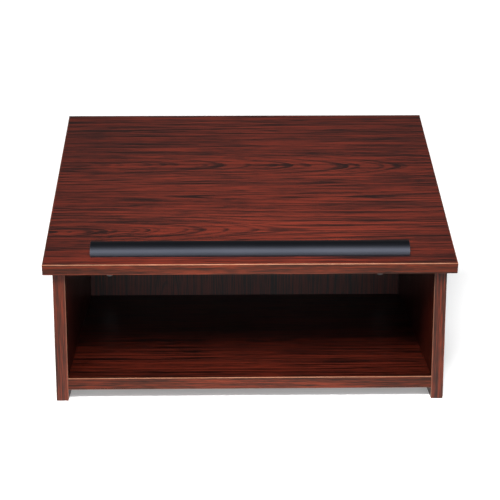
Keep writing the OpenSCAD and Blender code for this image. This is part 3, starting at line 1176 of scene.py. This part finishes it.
@dataclass
class EdgeBand:
    """A strip of edge band on one edge of a board.

    Attributes:
        node: The CAD node that it stands for.
        place: Its frame: X along it, Y across it, Z out of the board, at the middle of its outer face.
        length: Its length along X.
        width: Its width, which is the board's thickness.
        thick: Its thickness.
        trims: Strength of the light line on its +Y and -Y arrises.
        tones: The print's colours.
        gloss: Specular level of its film.
        lean: How far its far end leans back over its width, as a slope of X on Z or Y.
        seed: Shifts its pattern.
        round_over: Radius of its outer arrises.
    """

    node: str
    place: Place
    length: float
    width: float
    thick: float
    trims: Point2 = (1.0, 0.35)
    tones: WoodTones = BAND_TONES
    gloss: float = 0.2
    lean: float = 0.0
    seed: float = 0.0
    round_over: float = 1.0 * MM

    def outline(self) -> list[Point2]:
        """The strip's section, flat where it is glued and rounded outside.

        Returns:
            Points in local Y and Z.
        """
        half = self.width / 2
        r = self.round_over
        left = arc((-half + r, -r), r, 180.0, 90.0, 6)
        right = arc((half - r, -r), r, 90.0, 0.0, 6)
        return [(-half, -self.thick), *left, *right, (half, -self.thick)]

    def build(self) -> None:
        """Builds the strip and dresses it."""
        half = self.length / 2
        bm = swept(self.outline(), [(-half, 0.0), (half, 0.0)], self.place)
        if self.lean:
            inverse = self.place.matrix.inverted()
            for vert in bm.verts:
                local = inverse @ vert.co
                if local.x > 0:
                    local.x += self.lean * local.z
                    vert.co = self.place.matrix @ local
        finish = BandFilm(
            "film_" + self.node,
            self.place,
            self.width,
            self.tones,
            trim_top=self.trims[0],
            trim_foot=self.trims[1],
            gloss=self.gloss,
            seed=self.seed,
        ).build()
        strip = add_piece("strip_" + self.node, mesh_of(bm, "strip_" + self.node, smooth=35.0), finish)
        seat_piece(strip, CARCASS, "edge_band", self.node)


@dataclass
class ReadingTop:
    """The slanted reading top with its four edge bands.

    Attributes:
        slope: Its measured slab.
        band: Thickness of its edge bands.
        hearts: Where its arched grain lies: across the slope, under the face, and how it tilts.
    """

    slope: Slope
    band: float
    hearts: tuple[Heart, ...] = (
        Heart(0.086, 0.0210, 0.108, -0.124, 0.036),
        Heart(0.265, 0.0300, 0.079),
        Heart(0.480, 0.0340, 0.040),
    )

    def dress_board(self) -> None:
        """Gives the board its grain, which runs from side to side."""
        place = Place.of_axes(self.slope.point(0, 0, self.slope.thick), X_AXIS, self.slope.up)
        dress_node("top_board", GrainLaminate("laminate_top", place, self.hearts, seed=2.0).build())

    def bands(self) -> list[EdgeBand]:
        """The four bands, the front one with the strongest light line, its painted highlight strongest on the arris
        that faces the light from above.

        Returns:
            The bands.
        """
        slab, right = self.slope, X_AXIS
        front = Place.of_axes(slab.point(0, 0, slab.thick / 2), right, -slab.along)
        rear = Place.of_axes(slab.point(0, slab.length, slab.thick / 2), -right, slab.along)
        # Painted highlight: the front band's upper arris gets the strongest light line, the other arrises weaker ones.
        made = [
            EdgeBand("top_front_band", front, slab.width, slab.thick, self.band, (1.0, 0.1), gloss=0.1, seed=1.0),
            EdgeBand("top_rear_band", rear, slab.width, slab.thick, self.band, (0.1, 0.1), seed=2.0),
        ]
        for hand in Hand:
            out = right * hand.value
            edge = slab.point(hand.value * slab.width / 2, slab.length / 2, slab.thick / 2)
            place = Place.of_axes(edge, slab.along * hand.value, out)
            node = f"top_{hand.word}_band"
            run = slab.length - 2 * self.band
            made.append(EdgeBand(node, place, run, slab.thick, self.band, (0.35, 0.1), seed=3.0 + hand.value))
        return made

    def build(self) -> None:
        """Dresses the board and builds its bands."""
        self.dress_board()
        for band in self.bands():
            band.build()


@dataclass
class SidePanel:
    """A side panel, which is also a foot, with its front, rear and foot bands.

    Attributes:
        hand: Which side it is.
        slope: The slab that lies on its sloping edge.
        band: Thickness of its edge bands.
    """

    hand: Hand
    slope: Slope
    band: float

    def dress_board(self) -> None:
        """Gives the board its upright grain, in darkened tones that paint shade on it."""
        low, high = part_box(f"{self.hand.word}_side")
        outer = Vector((high.x if self.hand is Hand.RIGHT else low.x, low.y, low.z))
        place = Place.of_axes(outer, Z_AXIS, Vector((self.hand.value, 0, 0)))
        sign = -self.hand.value
        hearts = (Heart(-sign * 0.105, 0.020, 0.060), Heart(-sign * 0.300, 0.030, 0.050))
        finish = GrainLaminate(
            f"laminate_{self.hand.word}_side", place, hearts, SIDE_SHADED_TONES, gloss=0.15, seed=20.0 + self.hand.value
        )
        dress_node(f"{self.hand.word}_side", finish.build())

    def upright_band(self, node: str, front: bool) -> EdgeBand:
        """The band on the front or the rear edge, its upper end cut to the slope.

        Args:
            node: Its CAD node.
            front: Whether it is the front one.

        Returns:
            The band.
        """
        low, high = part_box(node)
        out = Vector((0, -1 if front else 1, 0))
        face_y = low.y if front else high.y
        rise = self.slope.along.z / self.slope.along.y
        top = high.z - (rise * self.band if front else 0.0)
        place = Place.of_axes(Vector((middle(low, high).x, face_y, (low.z + top) / 2)), Z_AXIS, out)
        inner = self.hand.value * (1 if front else -1)
        # Painted highlight: the light line is strongest on the arris that faces the middle, where the light falls.
        trims = (0.5, 0.1) if inner > 0 else (0.1, 0.5)
        lean = -rise if front else rise
        return EdgeBand(
            node, place, top - low.z, high.x - low.x, self.band, trims, lean=lean, seed=6.0 + 2 * self.hand.value
        )

    def foot_band(self) -> EdgeBand:
        """The band that the panel stands on.

        Returns:
            The band.
        """
        node = f"{self.hand.word}_foot_band"
        low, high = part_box(node)
        mid = middle(low, high)
        place = Place.of_axes(Vector((mid.x, mid.y, low.z)), Y_AXIS, -Z_AXIS)
        return EdgeBand(node, place, high.y - low.y, high.x - low.x, self.band, (0.3, 0.3), seed=9.0)

    def build(self) -> None:
        """Dresses the board and builds its bands."""
        self.dress_board()
        self.upright_band(f"{self.hand.word}_front_band", True).build()
        self.upright_band(f"{self.hand.word}_rear_band", False).build()
        self.foot_band().build()


@dataclass
class Shelf:
    """The shelf between the side panels, with its front band.

    Attributes:
        band: Thickness of its edge band.
    """

    band: float

    def build(self) -> None:
        """Dresses the board, in darkened tones that paint shade on it, and builds its band."""
        low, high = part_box("shelf")
        place = Place.of_axes(Vector((0, low.y, high.z)), X_AXIS, Z_AXIS)
        hearts = (Heart(0.150, 0.024, -0.060), Heart(0.420, 0.030, 0.050))
        # Painted shade: the shelf takes the laminate's tones darkened, standing in for the shade under the top.
        tones = WoodTones().lit(0.54)
        finish = GrainLaminate(
            "laminate_shelf", place, hearts, tones, ring=0.010, gloss=0.04, coarse=1.4, marked=1.5, seed=41.0
        )
        dress_node("shelf", finish.build())
        low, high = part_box("shelf_front_band")
        mid = middle(low, high)
        edge = Place.of_axes(Vector((mid.x, low.y, mid.z)), X_AXIS, -Y_AXIS)
        length, width = high.x - low.x, high.z - low.z
        # Painted shade: the shelf's front band takes the band tones darkened. Its light line is partly a painted
        # highlight.
        tones = BAND_TONES.lit(0.82)
        EdgeBand("shelf_front_band", edge, length, width, self.band, (0.9, 0.3), tones, gloss=0.12, seed=12.0).build()


@dataclass
class BackPanel:
    """The back panel between the side panels, with its foot band.

    Attributes:
        band: Thickness of its edge band.
    """

    band: float

    def build(self) -> None:
        """Dresses the board, in lightened tones that paint light on it, and builds its band."""
        low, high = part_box("back_panel")
        place = Place.of_axes(Vector((0, low.y, low.z)), Z_AXIS, -Y_AXIS)
        hearts = (Heart(-0.150, 0.030, 0.050), Heart(0.120, 0.024, 0.055), Heart(0.330, 0.030, 0.040))
        # Painted light: the back panel takes the laminate's tones lightened, standing in for the light on it.
        tones = WoodTones().lit(1.25)
        finish = GrainLaminate("laminate_back", place, hearts, tones, ring=0.0055, rough=0.38, gloss=0.62, seed=61.0)
        dress_node("back_panel", finish.build())
        low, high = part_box("back_foot_band")
        mid = middle(low, high)
        edge = Place.of_axes(Vector((mid.x, mid.y, low.z)), X_AXIS, -Z_AXIS)
        EdgeBand("back_foot_band", edge, high.x - low.x, high.y - low.y, self.band, (0.3, 0.3), seed=14.0).build()


# ---- Book stop


@dataclass
class BookStop:
    """The half-round book stop: a drawn hollow profile with plugs in its ends.

    Attributes:
        slope: The slab that it stands on.
        wall: Wall of its round shell.
        base: Wall of its flat base.
        rib_width: Width of the screw rib inside.
        rib_height: Height of that rib from the foot of the profile.
        deburr: How far its arrises are broken.
        place: Its frame: X along it, Z square to the slope, at the middle of its foot.
        radius: Radius of its half round.
        half: Half its length.
    """

    slope: Slope
    wall: float = 1.8 * MM
    base: float = 2.5 * MM
    rib_width: float = 9.0 * MM
    rib_height: float = 8.5 * MM
    deburr: float = 0.25 * MM
    place: Place = field(init=False)
    radius: float = field(init=False)
    half: float = field(init=False)

    def __post_init__(self) -> None:
        """Works the profile's place and size out from its node."""
        low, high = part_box("book_stop")
        slab = self.slope
        face = slab.point(0, 0, slab.thick)
        self.half = (high.x - low.x) / 2
        reach = high.y - low.y
        # A half round on a slope: its box is one radius ahead of its middle and one sine of it behind
        self.radius = reach / (1 + slab.along.y)
        centre_y = low.y + self.radius
        s = (centre_y - face.y) / slab.along.y
        self.place = Place.of_axes(slab.point(0, s, slab.thick), X_AXIS, slab.up)

    def outer(self) -> list[Point2]:
        """The outer half round, its foot arrises a little broken.

        Returns:
            Points in local Y and Z.
        """
        r, d = self.radius, self.deburr
        start = math.degrees(math.asin(d / r))
        return [(-r + d, 0.0), (r - d, 0.0), *arc((0, 0), r, start, 180.0 - start, 56)]

    def chamber(self) -> list[Point2]:
        """The hollow inside, over the base wall and round the screw rib.

        Returns:
            Points in local Y and Z.
        """
        r = self.radius - self.wall
        start = math.degrees(math.asin(self.base / r))
        half_rib, low, high = self.rib_width / 2, self.base, self.rib_height
        foot = [(-half_rib, low), (-half_rib, high), (half_rib, high), (half_rib, low)]
        return [*arc((0, 0), r, start, 180.0 - start, 40), *foot]

    def build(self) -> None:
        """Builds the profile and dresses it and its plugs."""
        d = self.deburr
        stations = [(-self.half, d), (-self.half + d, 0.0), (self.half - d, 0.0), (self.half, d)]
        shell = mesh_of(swept(self.outer(), stations, self.place), "stop_shell", smooth=30.0)
        hollow = swept(self.chamber(), [(-self.half - MM, 0.0), (self.half + MM, 0.0)], self.place)
        mesh = carved(shell, [hollow], "book_stop_profile", smooth=30.0)
        finish = CoatedAluminium("coated_aluminium", self.place, self.half).build()
        seat_piece(add_piece("book_stop_profile", mesh, finish), CARCASS, "stop_aluminium", "book_stop")
        plug = MouldedPlastic("black_plug_plastic").build()
        for hand in Hand:
            dress_node(f"stop_{hand.word}_plug", plug)


# ---- Fittings


@dataclass
class CamLocks:
    """The cam locks: die-cast barrels with a driver cross, a pointer and a chamber for the bolt's head.

    Attributes:
        diameter: Diameter of a barrel.
        height: Height of a barrel, its proud face included.
        proud: How far its face stands out of the board.
        level: Depth of the bolt's axis under the board's face.
        chamber: Radius of the round chamber.
        shift: Offset of the chamber away from the locked side.
        room: Height of the chamber.
        mouth: Radius of the mouth that lets the bolt's head in.
        slot: Width of the slot that its neck runs in.
        bevel: Bevel round the face.
    """

    diameter: float = 15.0 * MM
    height: float = 12.8 * MM
    proud: float = 0.3 * MM
    level: float = 8.0 * MM
    chamber: float = 5.8 * MM
    shift: float = 1.2 * MM
    room: float = 7.2 * MM
    mouth: float = 3.4 * MM
    slot: float = 4.4 * MM
    bevel: float = 0.4 * MM

    def barrel(self) -> bpy.types.Mesh:
        """The turned barrel before it is hollowed.

        Returns:
            Its mesh.
        """
        r, b = self.diameter / 2, self.bevel
        foot, head = self.proud - self.height, self.proud
        ring = r - 1.6 * MM
        step = 0.15 * MM
        profile = [(0, foot), (r - b, foot), (r, foot + b), (r, head - b), (r - b, head), (ring, head)]
        profile += [(ring - step, head - step), (0, head - step)]
        return turned(profile, "cam_barrel", sides=72, smooth=35.0)

    def neck_run(self) -> bmesh.types.BMesh:
        """The half ring of slot that the bolt's neck runs through as the lock turns.

        Returns:
            The shape.
        """
        bm = bmesh.new()
        inner, outer, half = 2.3 * MM, self.diameter, self.slot / 2
        rings = []
        for step in range(33):
            angle = math.pi + math.pi * step / 32
            way = Vector((math.cos(angle), math.sin(angle), 0))
            corners = ((inner, -half), (outer, -half), (outer, half), (inner, half))
            rings.append([bm.verts.new(way * r + Vector((0, 0, h - self.level))) for r, h in corners])
        return bridged(bm, rings)

    def cutters(self) -> list[bmesh.types.BMesh]:
        """All that is cut out of the barrel.

        Returns:
            The shapes.
        """
        axis = Vector((0, 0, -self.level))
        lift = Vector((0, 0, self.room / 2))
        side = Vector((-self.shift, 0, 0))
        out = Vector((self.diameter, 0, 0))
        shapes = [rod(self.chamber, axis + side - lift, axis + side + lift, sides=64)]
        shapes.append(rod(self.mouth, axis, axis - out))
        shapes.append(rod(self.slot / 2, axis, axis + out))
        shapes.append(self.neck_run())
        depth = 2.4 * MM
        shapes += crossed(3.3 * MM, 0.65 * MM, (self.proud - depth, self.proud + MM), 45.0)
        shapes.append(rod(1.25 * MM, Vector((0, 0, self.proud - depth * 1.1)), Vector((0, 0, MM)), sides=24))
        shapes.append(self.pointer())
        return shapes

    def pointer(self) -> bmesh.types.BMesh:
        """The arrow head sunk in the face, which points at the mouth.

        Returns:
            The shape.
        """
        bm = bmesh.new()
        tip, tail, half = 5.7 * MM, 4.3 * MM, 0.8 * MM
        outline = [(-tip, 0.0), (-tail, half), (-tail, -half)]
        floor, roof = self.proud - 0.45 * MM, self.proud + 0.5 * MM
        rings = [[bm.verts.new((x, y, z)) for x, y in outline] for z in (floor, roof)]
        return bridged(bm, rings)

    def build(self, seats: dict[str, Place]) -> None:
        """Puts a lock on each seat, each on its own body.

        Args:
            seats: The seat of each cam node.
        """
        finish = BareMetal("cast_zinc", (0.74, 0.74, 0.72), (0.50, 0.50, 0.49), rough=0.32).build()
        hollowed = carved(self.barrel(), self.cutters(), "cam_pattern", smooth=32.0)
        lock = bpy.data.objects.new("cam_pattern", hollowed)
        tree = PartTree("cam_lock_on_its_seat")
        pattern = tree.size("Pattern", "NodeSocketObject")
        tree.seated(tree.add("GeometryNodeObjectInfo", {"Object": pattern}).outputs["Geometry"])
        for node, seat in seats.items():
            mesh = tree.run("lock_" + node, [seat], Pattern=lock, Finish=finish)
            seat_piece(add_piece("lock_" + node, mesh, finish), node, "cam_zinc", node)
        bpy.data.objects.remove(lock)


@dataclass
class CamBolts:
    """The ball-headed bolts that the cam locks draw in.

    Attributes:
        reach: Distance from the cam's axis to the joint between the boards.
        head: Radius of the ball.
        head_off: Distance from the cam's axis to the ball's centre.
        head_flat: Height of the ball that is cut off flat.
        neck: Radius of the neck.
        shank: Radius of the shank.
        shank_from: Where the shank starts, from the cam's axis.
        core: Radius of the thread's core.
        crest: Radius over the thread.
        thread: Length of the thread.
    """

    reach: float = 29.0 * MM
    head: float = 3.0 * MM
    head_off: float = 1.5 * MM
    head_flat: float = 0.6 * MM
    neck: float = 1.8 * MM
    shank: float = 3.2 * MM
    shank_from: float = 8.5 * MM
    core: float = 2.05 * MM
    crest: float = 2.5 * MM
    thread: float = 10.5 * MM

    def body(self) -> bpy.types.Mesh:
        """The turned bolt without its thread; its axis is Z, from the cam to the thread's tip.

        Returns:
            Its mesh.
        """
        foot = self.head_off - self.head + self.head_flat
        first = -90.0 + math.degrees(math.acos((self.head - self.head_flat) / self.head))
        last = 90.0 - math.degrees(math.asin(self.neck / self.head))
        ball = arc((0.0, self.head_off), self.head, first, last, 14)
        collar = self.reach - 2.2 * MM
        tip = self.reach + self.thread
        rest = [
            (self.neck, self.shank_from),
            (self.shank - 0.4 * MM, self.shank_from),
            (self.shank, self.shank_from + 0.4 * MM),
            (self.shank, collar - 1.2 * MM),
            (self.shank - 0.5 * MM, collar - 0.8 * MM),
            (self.shank - 0.5 * MM, collar - 0.3 * MM),
            (self.shank, collar),
            (self.shank, self.reach),
            (self.core, self.reach),
            (self.core, tip - 1.2 * MM),
            (self.core * 0.45, tip),
            (0.0, tip),
        ]
        return turned([(0.0, foot), *ball, *rest], "bolt_body", sides=32, smooth=35.0)

    def build(self, groups: dict[str, list[Place]]) -> None:
        """Builds the bolts of each group.

        Args:
            groups: The seats of each node's bolts; their Z runs along the bolt.
        """
        finish = BareMetal("plated_bolt_steel", (0.66, 0.66, 0.65), (0.45, 0.45, 0.46), rough=0.30, grain=900.0).build()
        ridge = (self.crest - self.core) / 1.5
        threaded_set(
            "cam_bolts",
            self.body(),
            groups,
            "bolt_steel",
            Thread_Start=self.reach + 0.6 * MM,
            Core_Radius=self.crest - ridge,
            Ridge=ridge,
            Thread_Length=self.thread - 2.4 * MM,
            Pitch=1.6 * MM,
            Finish=finish,
        )


@dataclass
class Dowels:
    """The fluted beech dowels.

    Attributes:
        radius: Radius over the flutes.
        deep: Length from the joint to the end in the board's edge.
        shallow: Length from the joint to the end in the board's face.
        flutes: Number of flutes.
        flute: Depth of a flute.
        bevel: Bevel at both ends.
    """

    radius: float = 4.0 * MM
    deep: float = 20.0 * MM
    shallow: float = 10.0 * MM
    flutes: int = 18
    flute: float = 0.3 * MM
    bevel: float = 1.0 * MM

    def tree(self) -> PartTree:
        """The tree that makes a fluted dowel from a circle and a line.

        Returns:
            The tree.
        """
        tree = PartTree("fluted_dowels")
        radius, deep, shallow = (tree.size(n) for n in ("Radius", "Deep", "Shallow"))
        flutes, flute, bevel = (tree.size(n) for n in ("Flutes", "Flute Depth", "Bevel"))
        circle = tree.add("GeometryNodeCurvePrimitiveCircle", {"Resolution": 108, "Radius": radius}, mode="RADIUS")
        spot = tree.add("GeometryNodeInputPosition").outputs[0]
        x, y, height = tree.add("ShaderNodeSeparateXYZ", {0: spot}).outputs
        angle = tree.math("ARCTAN2", y, x)
        wave = tree.math("COSINE", tree.math("MULTIPLY", angle, flutes))
        dip = tree.math("MULTIPLY", tree.math("MULTIPLY_ADD", wave, -0.5, 0.5), flute)
        share = tree.math("SUBTRACT", 1.0, tree.math("DIVIDE", dip, radius))
        drawn_in = tree.add("ShaderNodeVectorMath", {0: spot, "Scale": share}, operation="SCALE").outputs[0]
        section = tree.add("GeometryNodeSetPosition", {"Geometry": circle.outputs[0], "Position": drawn_in})
        foot = tree.add("ShaderNodeCombineXYZ", {2: tree.math("MULTIPLY", deep, -1.0)})
        head = tree.add("ShaderNodeCombineXYZ", {2: shallow})
        line = tree.add("GeometryNodeCurvePrimitiveLine", {"Start": foot.outputs[0], "End": head.outputs[0]})
        cuts = tree.add("GeometryNodeResampleCurve", {"Curve": line.outputs[0], "Count": 31})
        solid = tree.add("GeometryNodeCurveToMesh", {0: cuts.outputs[0], 1: section.outputs[0], "Fill Caps": True})
        to_end = tree.math("MINIMUM", tree.math("SUBTRACT", shallow, height), tree.math("ADD", deep, height))
        short = tree.math("MAXIMUM", tree.math("SUBTRACT", bevel, to_end), 0.0)
        pinch = tree.math("SUBTRACT", 1.0, tree.math("DIVIDE", short, radius))
        factors = tree.add("ShaderNodeCombineXYZ", {0: pinch, 1: pinch, 2: 1.0}).outputs[0]
        narrowed = tree.add("ShaderNodeVectorMath", {0: spot, 1: factors}, operation="MULTIPLY").outputs[0]
        bevelled = tree.add("GeometryNodeSetPosition", {"Geometry": solid.outputs[0], "Position": narrowed})
        tree.seated(bevelled.outputs[0])
        return tree

    def build(self, groups: dict[str, list[Place]]) -> None:
        """Builds the dowels of each group.

        Args:
            groups: The seats of each node's dowels; their Z runs into the face-drilled board.
        """
        tree = self.tree()
        sizes = {
            "Radius": self.radius,
            "Deep": self.deep,
            "Shallow": self.shallow,
            "Flutes": float(self.flutes),
            "Flute_Depth": self.flute,
            "Bevel": self.bevel,
        }
        for node, seats in groups.items():
            side, _, way = seats[0].turn.col
            finish = Beech("beech_" + node, Place.of_axes(Vector(), way, side)).build()
            mesh = tree.run("set_of_" + node, seats, Finish=finish, **sizes)
            seat_piece(add_piece("set_of_" + node, mesh, finish), CARCASS, "beech", node)


@dataclass
class StopScrews:
    """The countersunk screws that hold the book stop from underneath.

    Attributes:
        shank: Radius over the thread.
        core: Radius of the thread's core.
        head: Radius of the head.
        head_height: Height of the head.
        length: Length over all.
        pitch: Pitch of the thread.
    """

    shank: float = 2.0 * MM
    core: float = 1.5 * MM
    head: float = 4.0 * MM
    head_height: float = 2.4 * MM
    length: float = 23.5 * MM
    pitch: float = 1.8 * MM

    def body(self) -> bpy.types.Mesh:
        """The screw without its thread, with a cross recess; its head's face is at Z = 0.

        Returns:
            Its mesh.
        """
        point = 2.4 * MM
        profile = [
            (0.0, 0.0),
            (self.head - 0.15 * MM, 0.0),
            (self.head, 0.15 * MM),
            (self.shank * 0.9, self.head_height),
            (self.shank * 0.85, self.head_height + 3.0 * MM),
            (self.core, self.head_height + 3.4 * MM),
            (self.core, self.length - point),
            (0.0, self.length),
        ]
        cross = crossed(2.1 * MM, 0.45 * MM, (-MM, 1.7 * MM))
        return carved(turned(profile, "screw_blank", sides=40, smooth=35.0), cross, "screw_body", smooth=32.0)

    def build(self, seats: list[Place]) -> None:
        """Builds the screws.

        Args:
            seats: Their seats; Z runs from the head to the point.
        """
        bright, dull = (0.70, 0.66, 0.56), (0.50, 0.46, 0.38)
        finish = BareMetal("plated_screw_steel", bright, dull, rough=0.30, grain=900.0).build()
        ridge = (self.shank - self.core) / 1.5
        threaded_set(
            "stop_screws",
            self.body(),
            {"stop_screws": seats},
            "screw_steel",
            Thread_Start=self.head_height + 3.6 * MM,
            Core_Radius=self.shank - ridge,
            Ridge=ridge,
            Thread_Length=self.length - self.head_height - 7.0 * MM,
            Pitch=self.pitch,
            Finish=finish,
        )


# ---- Where the fittings sit


@dataclass
class FittingSeats:
    """Seats of all fittings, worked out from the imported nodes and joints.

    Attributes:
        slope: The slab that the top's fittings hold.
    """

    slope: Slope

    def cams(self) -> dict[str, Place]:
        """The seat of each cam lock: Z out of its face, X towards its bolt.

        Returns:
            Seats by node.
        """
        seats = {}
        for joint in frame["joints"]:
            node = joint["child"]
            out = Vector(joint["axis"])
            if "_top_" in node:
                towards = self.slope.up
            else:
                towards = Vector((math.copysign(1.0, joint["pos_m"][0]), 0, 0))
            seats[node] = Place.of_axes(Vector(joint["pos_m"]), towards, out)
        return seats

    def bolts(self, level: float) -> dict[str, list[Place]]:
        """The seats of the bolts, grouped by node.

        Args:
            level: Depth of a bolt's axis under the face that holds its cam.

        Returns:
            Seats by node; Z runs along the bolt.
        """
        groups: dict[str, list[Place]] = {"top_bolts": [], "back_bolts": [], "shelf_bolts": []}
        for node, seat in self.cams().items():
            centre = seat.at(0, 0, -level)
            bolt = Place.of_axes(centre, seat.turn.col[1], seat.turn.col[0])
            groups[node.split("_")[1] + "_bolts"].append(bolt)
        return groups

    def islands(self, node: str) -> list[tuple[Vector, Vector]]:
        """Boxes of the separate solids in a node.

        Args:
            node: Name of the node.

        Returns:
            Lowest and highest corner of each solid.
        """
        bm = bmesh.new()
        bm.from_mesh(frame["nodes"][node].data)
        bmesh.ops.remove_doubles(bm, verts=bm.verts, dist=ISLAND_WELD)
        left, boxes = set(bm.verts), []
        while left:
            stack = [left.pop()]
            found = list(stack)
            while stack:
                for edge in stack.pop().link_edges:
                    for vert in edge.verts:
                        if vert in left:
                            left.remove(vert)
                            stack.append(vert)
                            found.append(vert)
            low = Vector([min(v.co[i] for v in found) for i in range(3)])
            high = Vector([max(v.co[i] for v in found) for i in range(3)])
            boxes.append((low, high))
        bm.free()
        return sorted(boxes, key=lambda b: b[0][:])

    def dowels(self, deep: float, shallow: float) -> dict[str, list[Place]]:
        """The seats of the dowels, grouped by node.

        Args:
            deep: A dowel's length in the board's edge.
            shallow: Its length in the board's face.

        Returns:
            Seats by node; Z runs into the face-drilled board.
        """
        groups = {}
        for node in ("top_dowels", "back_dowels", "shelf_dowels", "shelf_rear_dowels"):
            groups[node] = []
            for low, high in self.islands(node):
                mid = middle(low, high)
                if node == "top_dowels":
                    way, side = self.slope.up, X_AXIS
                elif node == "shelf_rear_dowels":
                    way, side = Y_AXIS, X_AXIS
                else:
                    way, side = Vector((math.copysign(1.0, mid.x), 0, 0)), Y_AXIS
                groups[node].append(Place.of_axes(mid + way * (deep - shallow) / 2, side, way))
        return groups

    def screws(self) -> list[Place]:
        """The seats of the book stop's screws: Z up from the head's face.

        Returns:
            The seats.
        """
        seats = []
        for low, high in self.islands("stop_screws"):
            mid = middle(low, high)
            offset = (mid - self.slope.low).dot(self.slope.along)
            seats.append(Place.of_axes(self.slope.point(mid.x, offset), X_AXIS, self.slope.up))
        return seats


# ---- Studio


@dataclass
class Studio:
    """Pale floor, soft studio light and the camera.

    Attributes:
        stand: Where the camera stands, in metres.
        yaw: How far it looks to the right of straight ahead, in degrees.
        pitch: How far it looks down.
        roll: How far it leans.
        lens: Its focal length on a 36 mm sensor, in millimetres.
        floor_half: Half the floor's side.
        sun_way: Direction in which the key light travels.
        key_power: Strength of the key light.
        key_spread: How wide the key light looks from the lectern, in degrees.
        box_stand: Where the near soft box hangs.
        box_aim: What it points at.
        box_power: Its power, in watts.
        box_size: Its side, in metres.
        box_spread: How wide its grid lets the light spread, in degrees.
        soft_way: Where the broad soft light is.
        soft_tones: Its brightness by how nearly one looks at it.
    """

    stand: Vector = field(default_factory=lambda: Vector((-0.03976, -2.05087, 0.70699)))
    yaw: float = 1.2119
    pitch: float = 15.1163
    roll: float = 0.0430
    lens: float = 108.506
    floor_half: float = 30.0
    sun_way: Vector = field(default_factory=lambda: Vector((0.349, 0.643, -0.682)))
    key_power: float = 2.7
    key_spread: float = 20.0
    box_stand: Vector = field(default_factory=lambda: Vector((0.0, -0.85, 0.90)))
    box_aim: Vector = field(default_factory=lambda: Vector((0.0, -0.16, 0.20)))
    box_power: float = 3.0
    box_size: float = 0.5
    box_spread: float = 42.0
    soft_way: Vector = field(default_factory=lambda: Vector((0.10, -0.93, 0.33)))
    soft_tones: tuple[Point2, ...] = ((0.10, 0.120), (0.60, 0.21), (0.88, 0.9), (0.97, 2.2))

    def floor(self) -> None:
        """Lays the floor just under the feet."""
        bm = bmesh.new()
        bmesh.ops.create_grid(bm, x_segments=1, y_segments=1, size=self.floor_half)
        floor = add_piece("floor", mesh_of(bm, "floor"), StudioPaper("studio_paper").build())
        floor.location.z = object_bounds()[0][2] - FLOOR_GAP
        floor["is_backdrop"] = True

    def light(self) -> None:
        """Adds the key light and a near soft box that falls off over the top."""
        sun = bpy.data.lights.new("key", "SUN")
        sun.energy = self.key_power
        sun.angle = math.radians(self.key_spread)
        key = bpy.data.objects.new("key", sun)
        key.rotation_euler = self.sun_way.to_track_quat("-Z", "Y").to_euler()
        key.visible_glossy = False
        box = bpy.data.lights.new("soft_box", "AREA")
        box.energy = self.box_power
        box.size = self.box_size
        box.spread = math.radians(self.box_spread)
        near = bpy.data.objects.new("soft_box", box)
        near.location = self.box_stand
        near.rotation_euler = (self.box_aim - self.box_stand).to_track_quat("-Z", "Y").to_euler()
        near.visible_glossy = False
        for lamp in (key, near):
            bpy.context.scene.collection.objects.link(lamp)

    def surroundings(self) -> None:
        """Makes a dim studio with one broad soft light ahead of the lectern."""
        world = bpy.data.worlds.new("studio")
        world.use_nodes = True
        sky = Wiring(world.node_tree)
        sky.tree.nodes.clear()
        spot = sky.add("ShaderNodeTexCoord").outputs["Generated"]
        ends = {0: spot, 1: self.soft_way.normalized()}
        facing = sky.add("ShaderNodeVectorMath", ends, operation="DOT_PRODUCT").outputs["Value"]
        tones = [(place, (tone, tone, tone * 1.01)) for place, tone in self.soft_tones]
        light = sky.add("ShaderNodeBackground", {0: sky.ramp(facing, tones, "EASE")})
        sky.add("ShaderNodeOutputWorld", {0: light.outputs[0]})
        bpy.context.scene.world = world

    def camera(self) -> None:
        """Stands the camera where the lectern is seen from."""
        data = bpy.data.cameras.new("camera")
        data.lens = self.lens
        data.sensor_width = 36.0
        data.clip_end = 100.0
        camera = bpy.data.objects.new("camera", data)
        turn = Matrix.Rotation(-math.radians(self.yaw), 4, "Z")
        turn = turn @ Matrix.Rotation(math.radians(90.0 - self.pitch), 4, "X")
        turn = turn @ Matrix.Rotation(math.radians(self.roll), 4, "Z")
        camera.matrix_world = Matrix.Translation(self.stand) @ turn
        bpy.context.scene.collection.objects.link(camera)
        bpy.context.scene.camera = camera

    def build(self) -> None:
        """Sets the whole studio up."""
        self.camera()
        self.floor()
        self.light()
        self.surroundings()
        bpy.context.scene.view_settings.view_transform = "Standard"


def main() -> None:
    logging.basicConfig(level=logging.INFO, format="%(name)s: %(message)s")
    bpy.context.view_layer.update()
    slope = Slope.measured()
    low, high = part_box("shelf_front_band")
    band = high.y - low.y
    Studio().build()
    ReadingTop(slope, band).build()
    for hand in Hand:
        SidePanel(hand, slope, band).build()
    Shelf(band).build()
    BackPanel(band).build()
    BookStop(slope).build()
    seats = FittingSeats(slope)
    cams = CamLocks()
    cams.build(seats.cams())
    CamBolts().build(seats.bolts(cams.level))
    dowels = Dowels()
    dowels.build(seats.dowels(dowels.deep, dowels.shallow))
    StopScrews().build(seats.screws())
    LOG.info("lectern built")


if __name__ == "__main__":
    main()
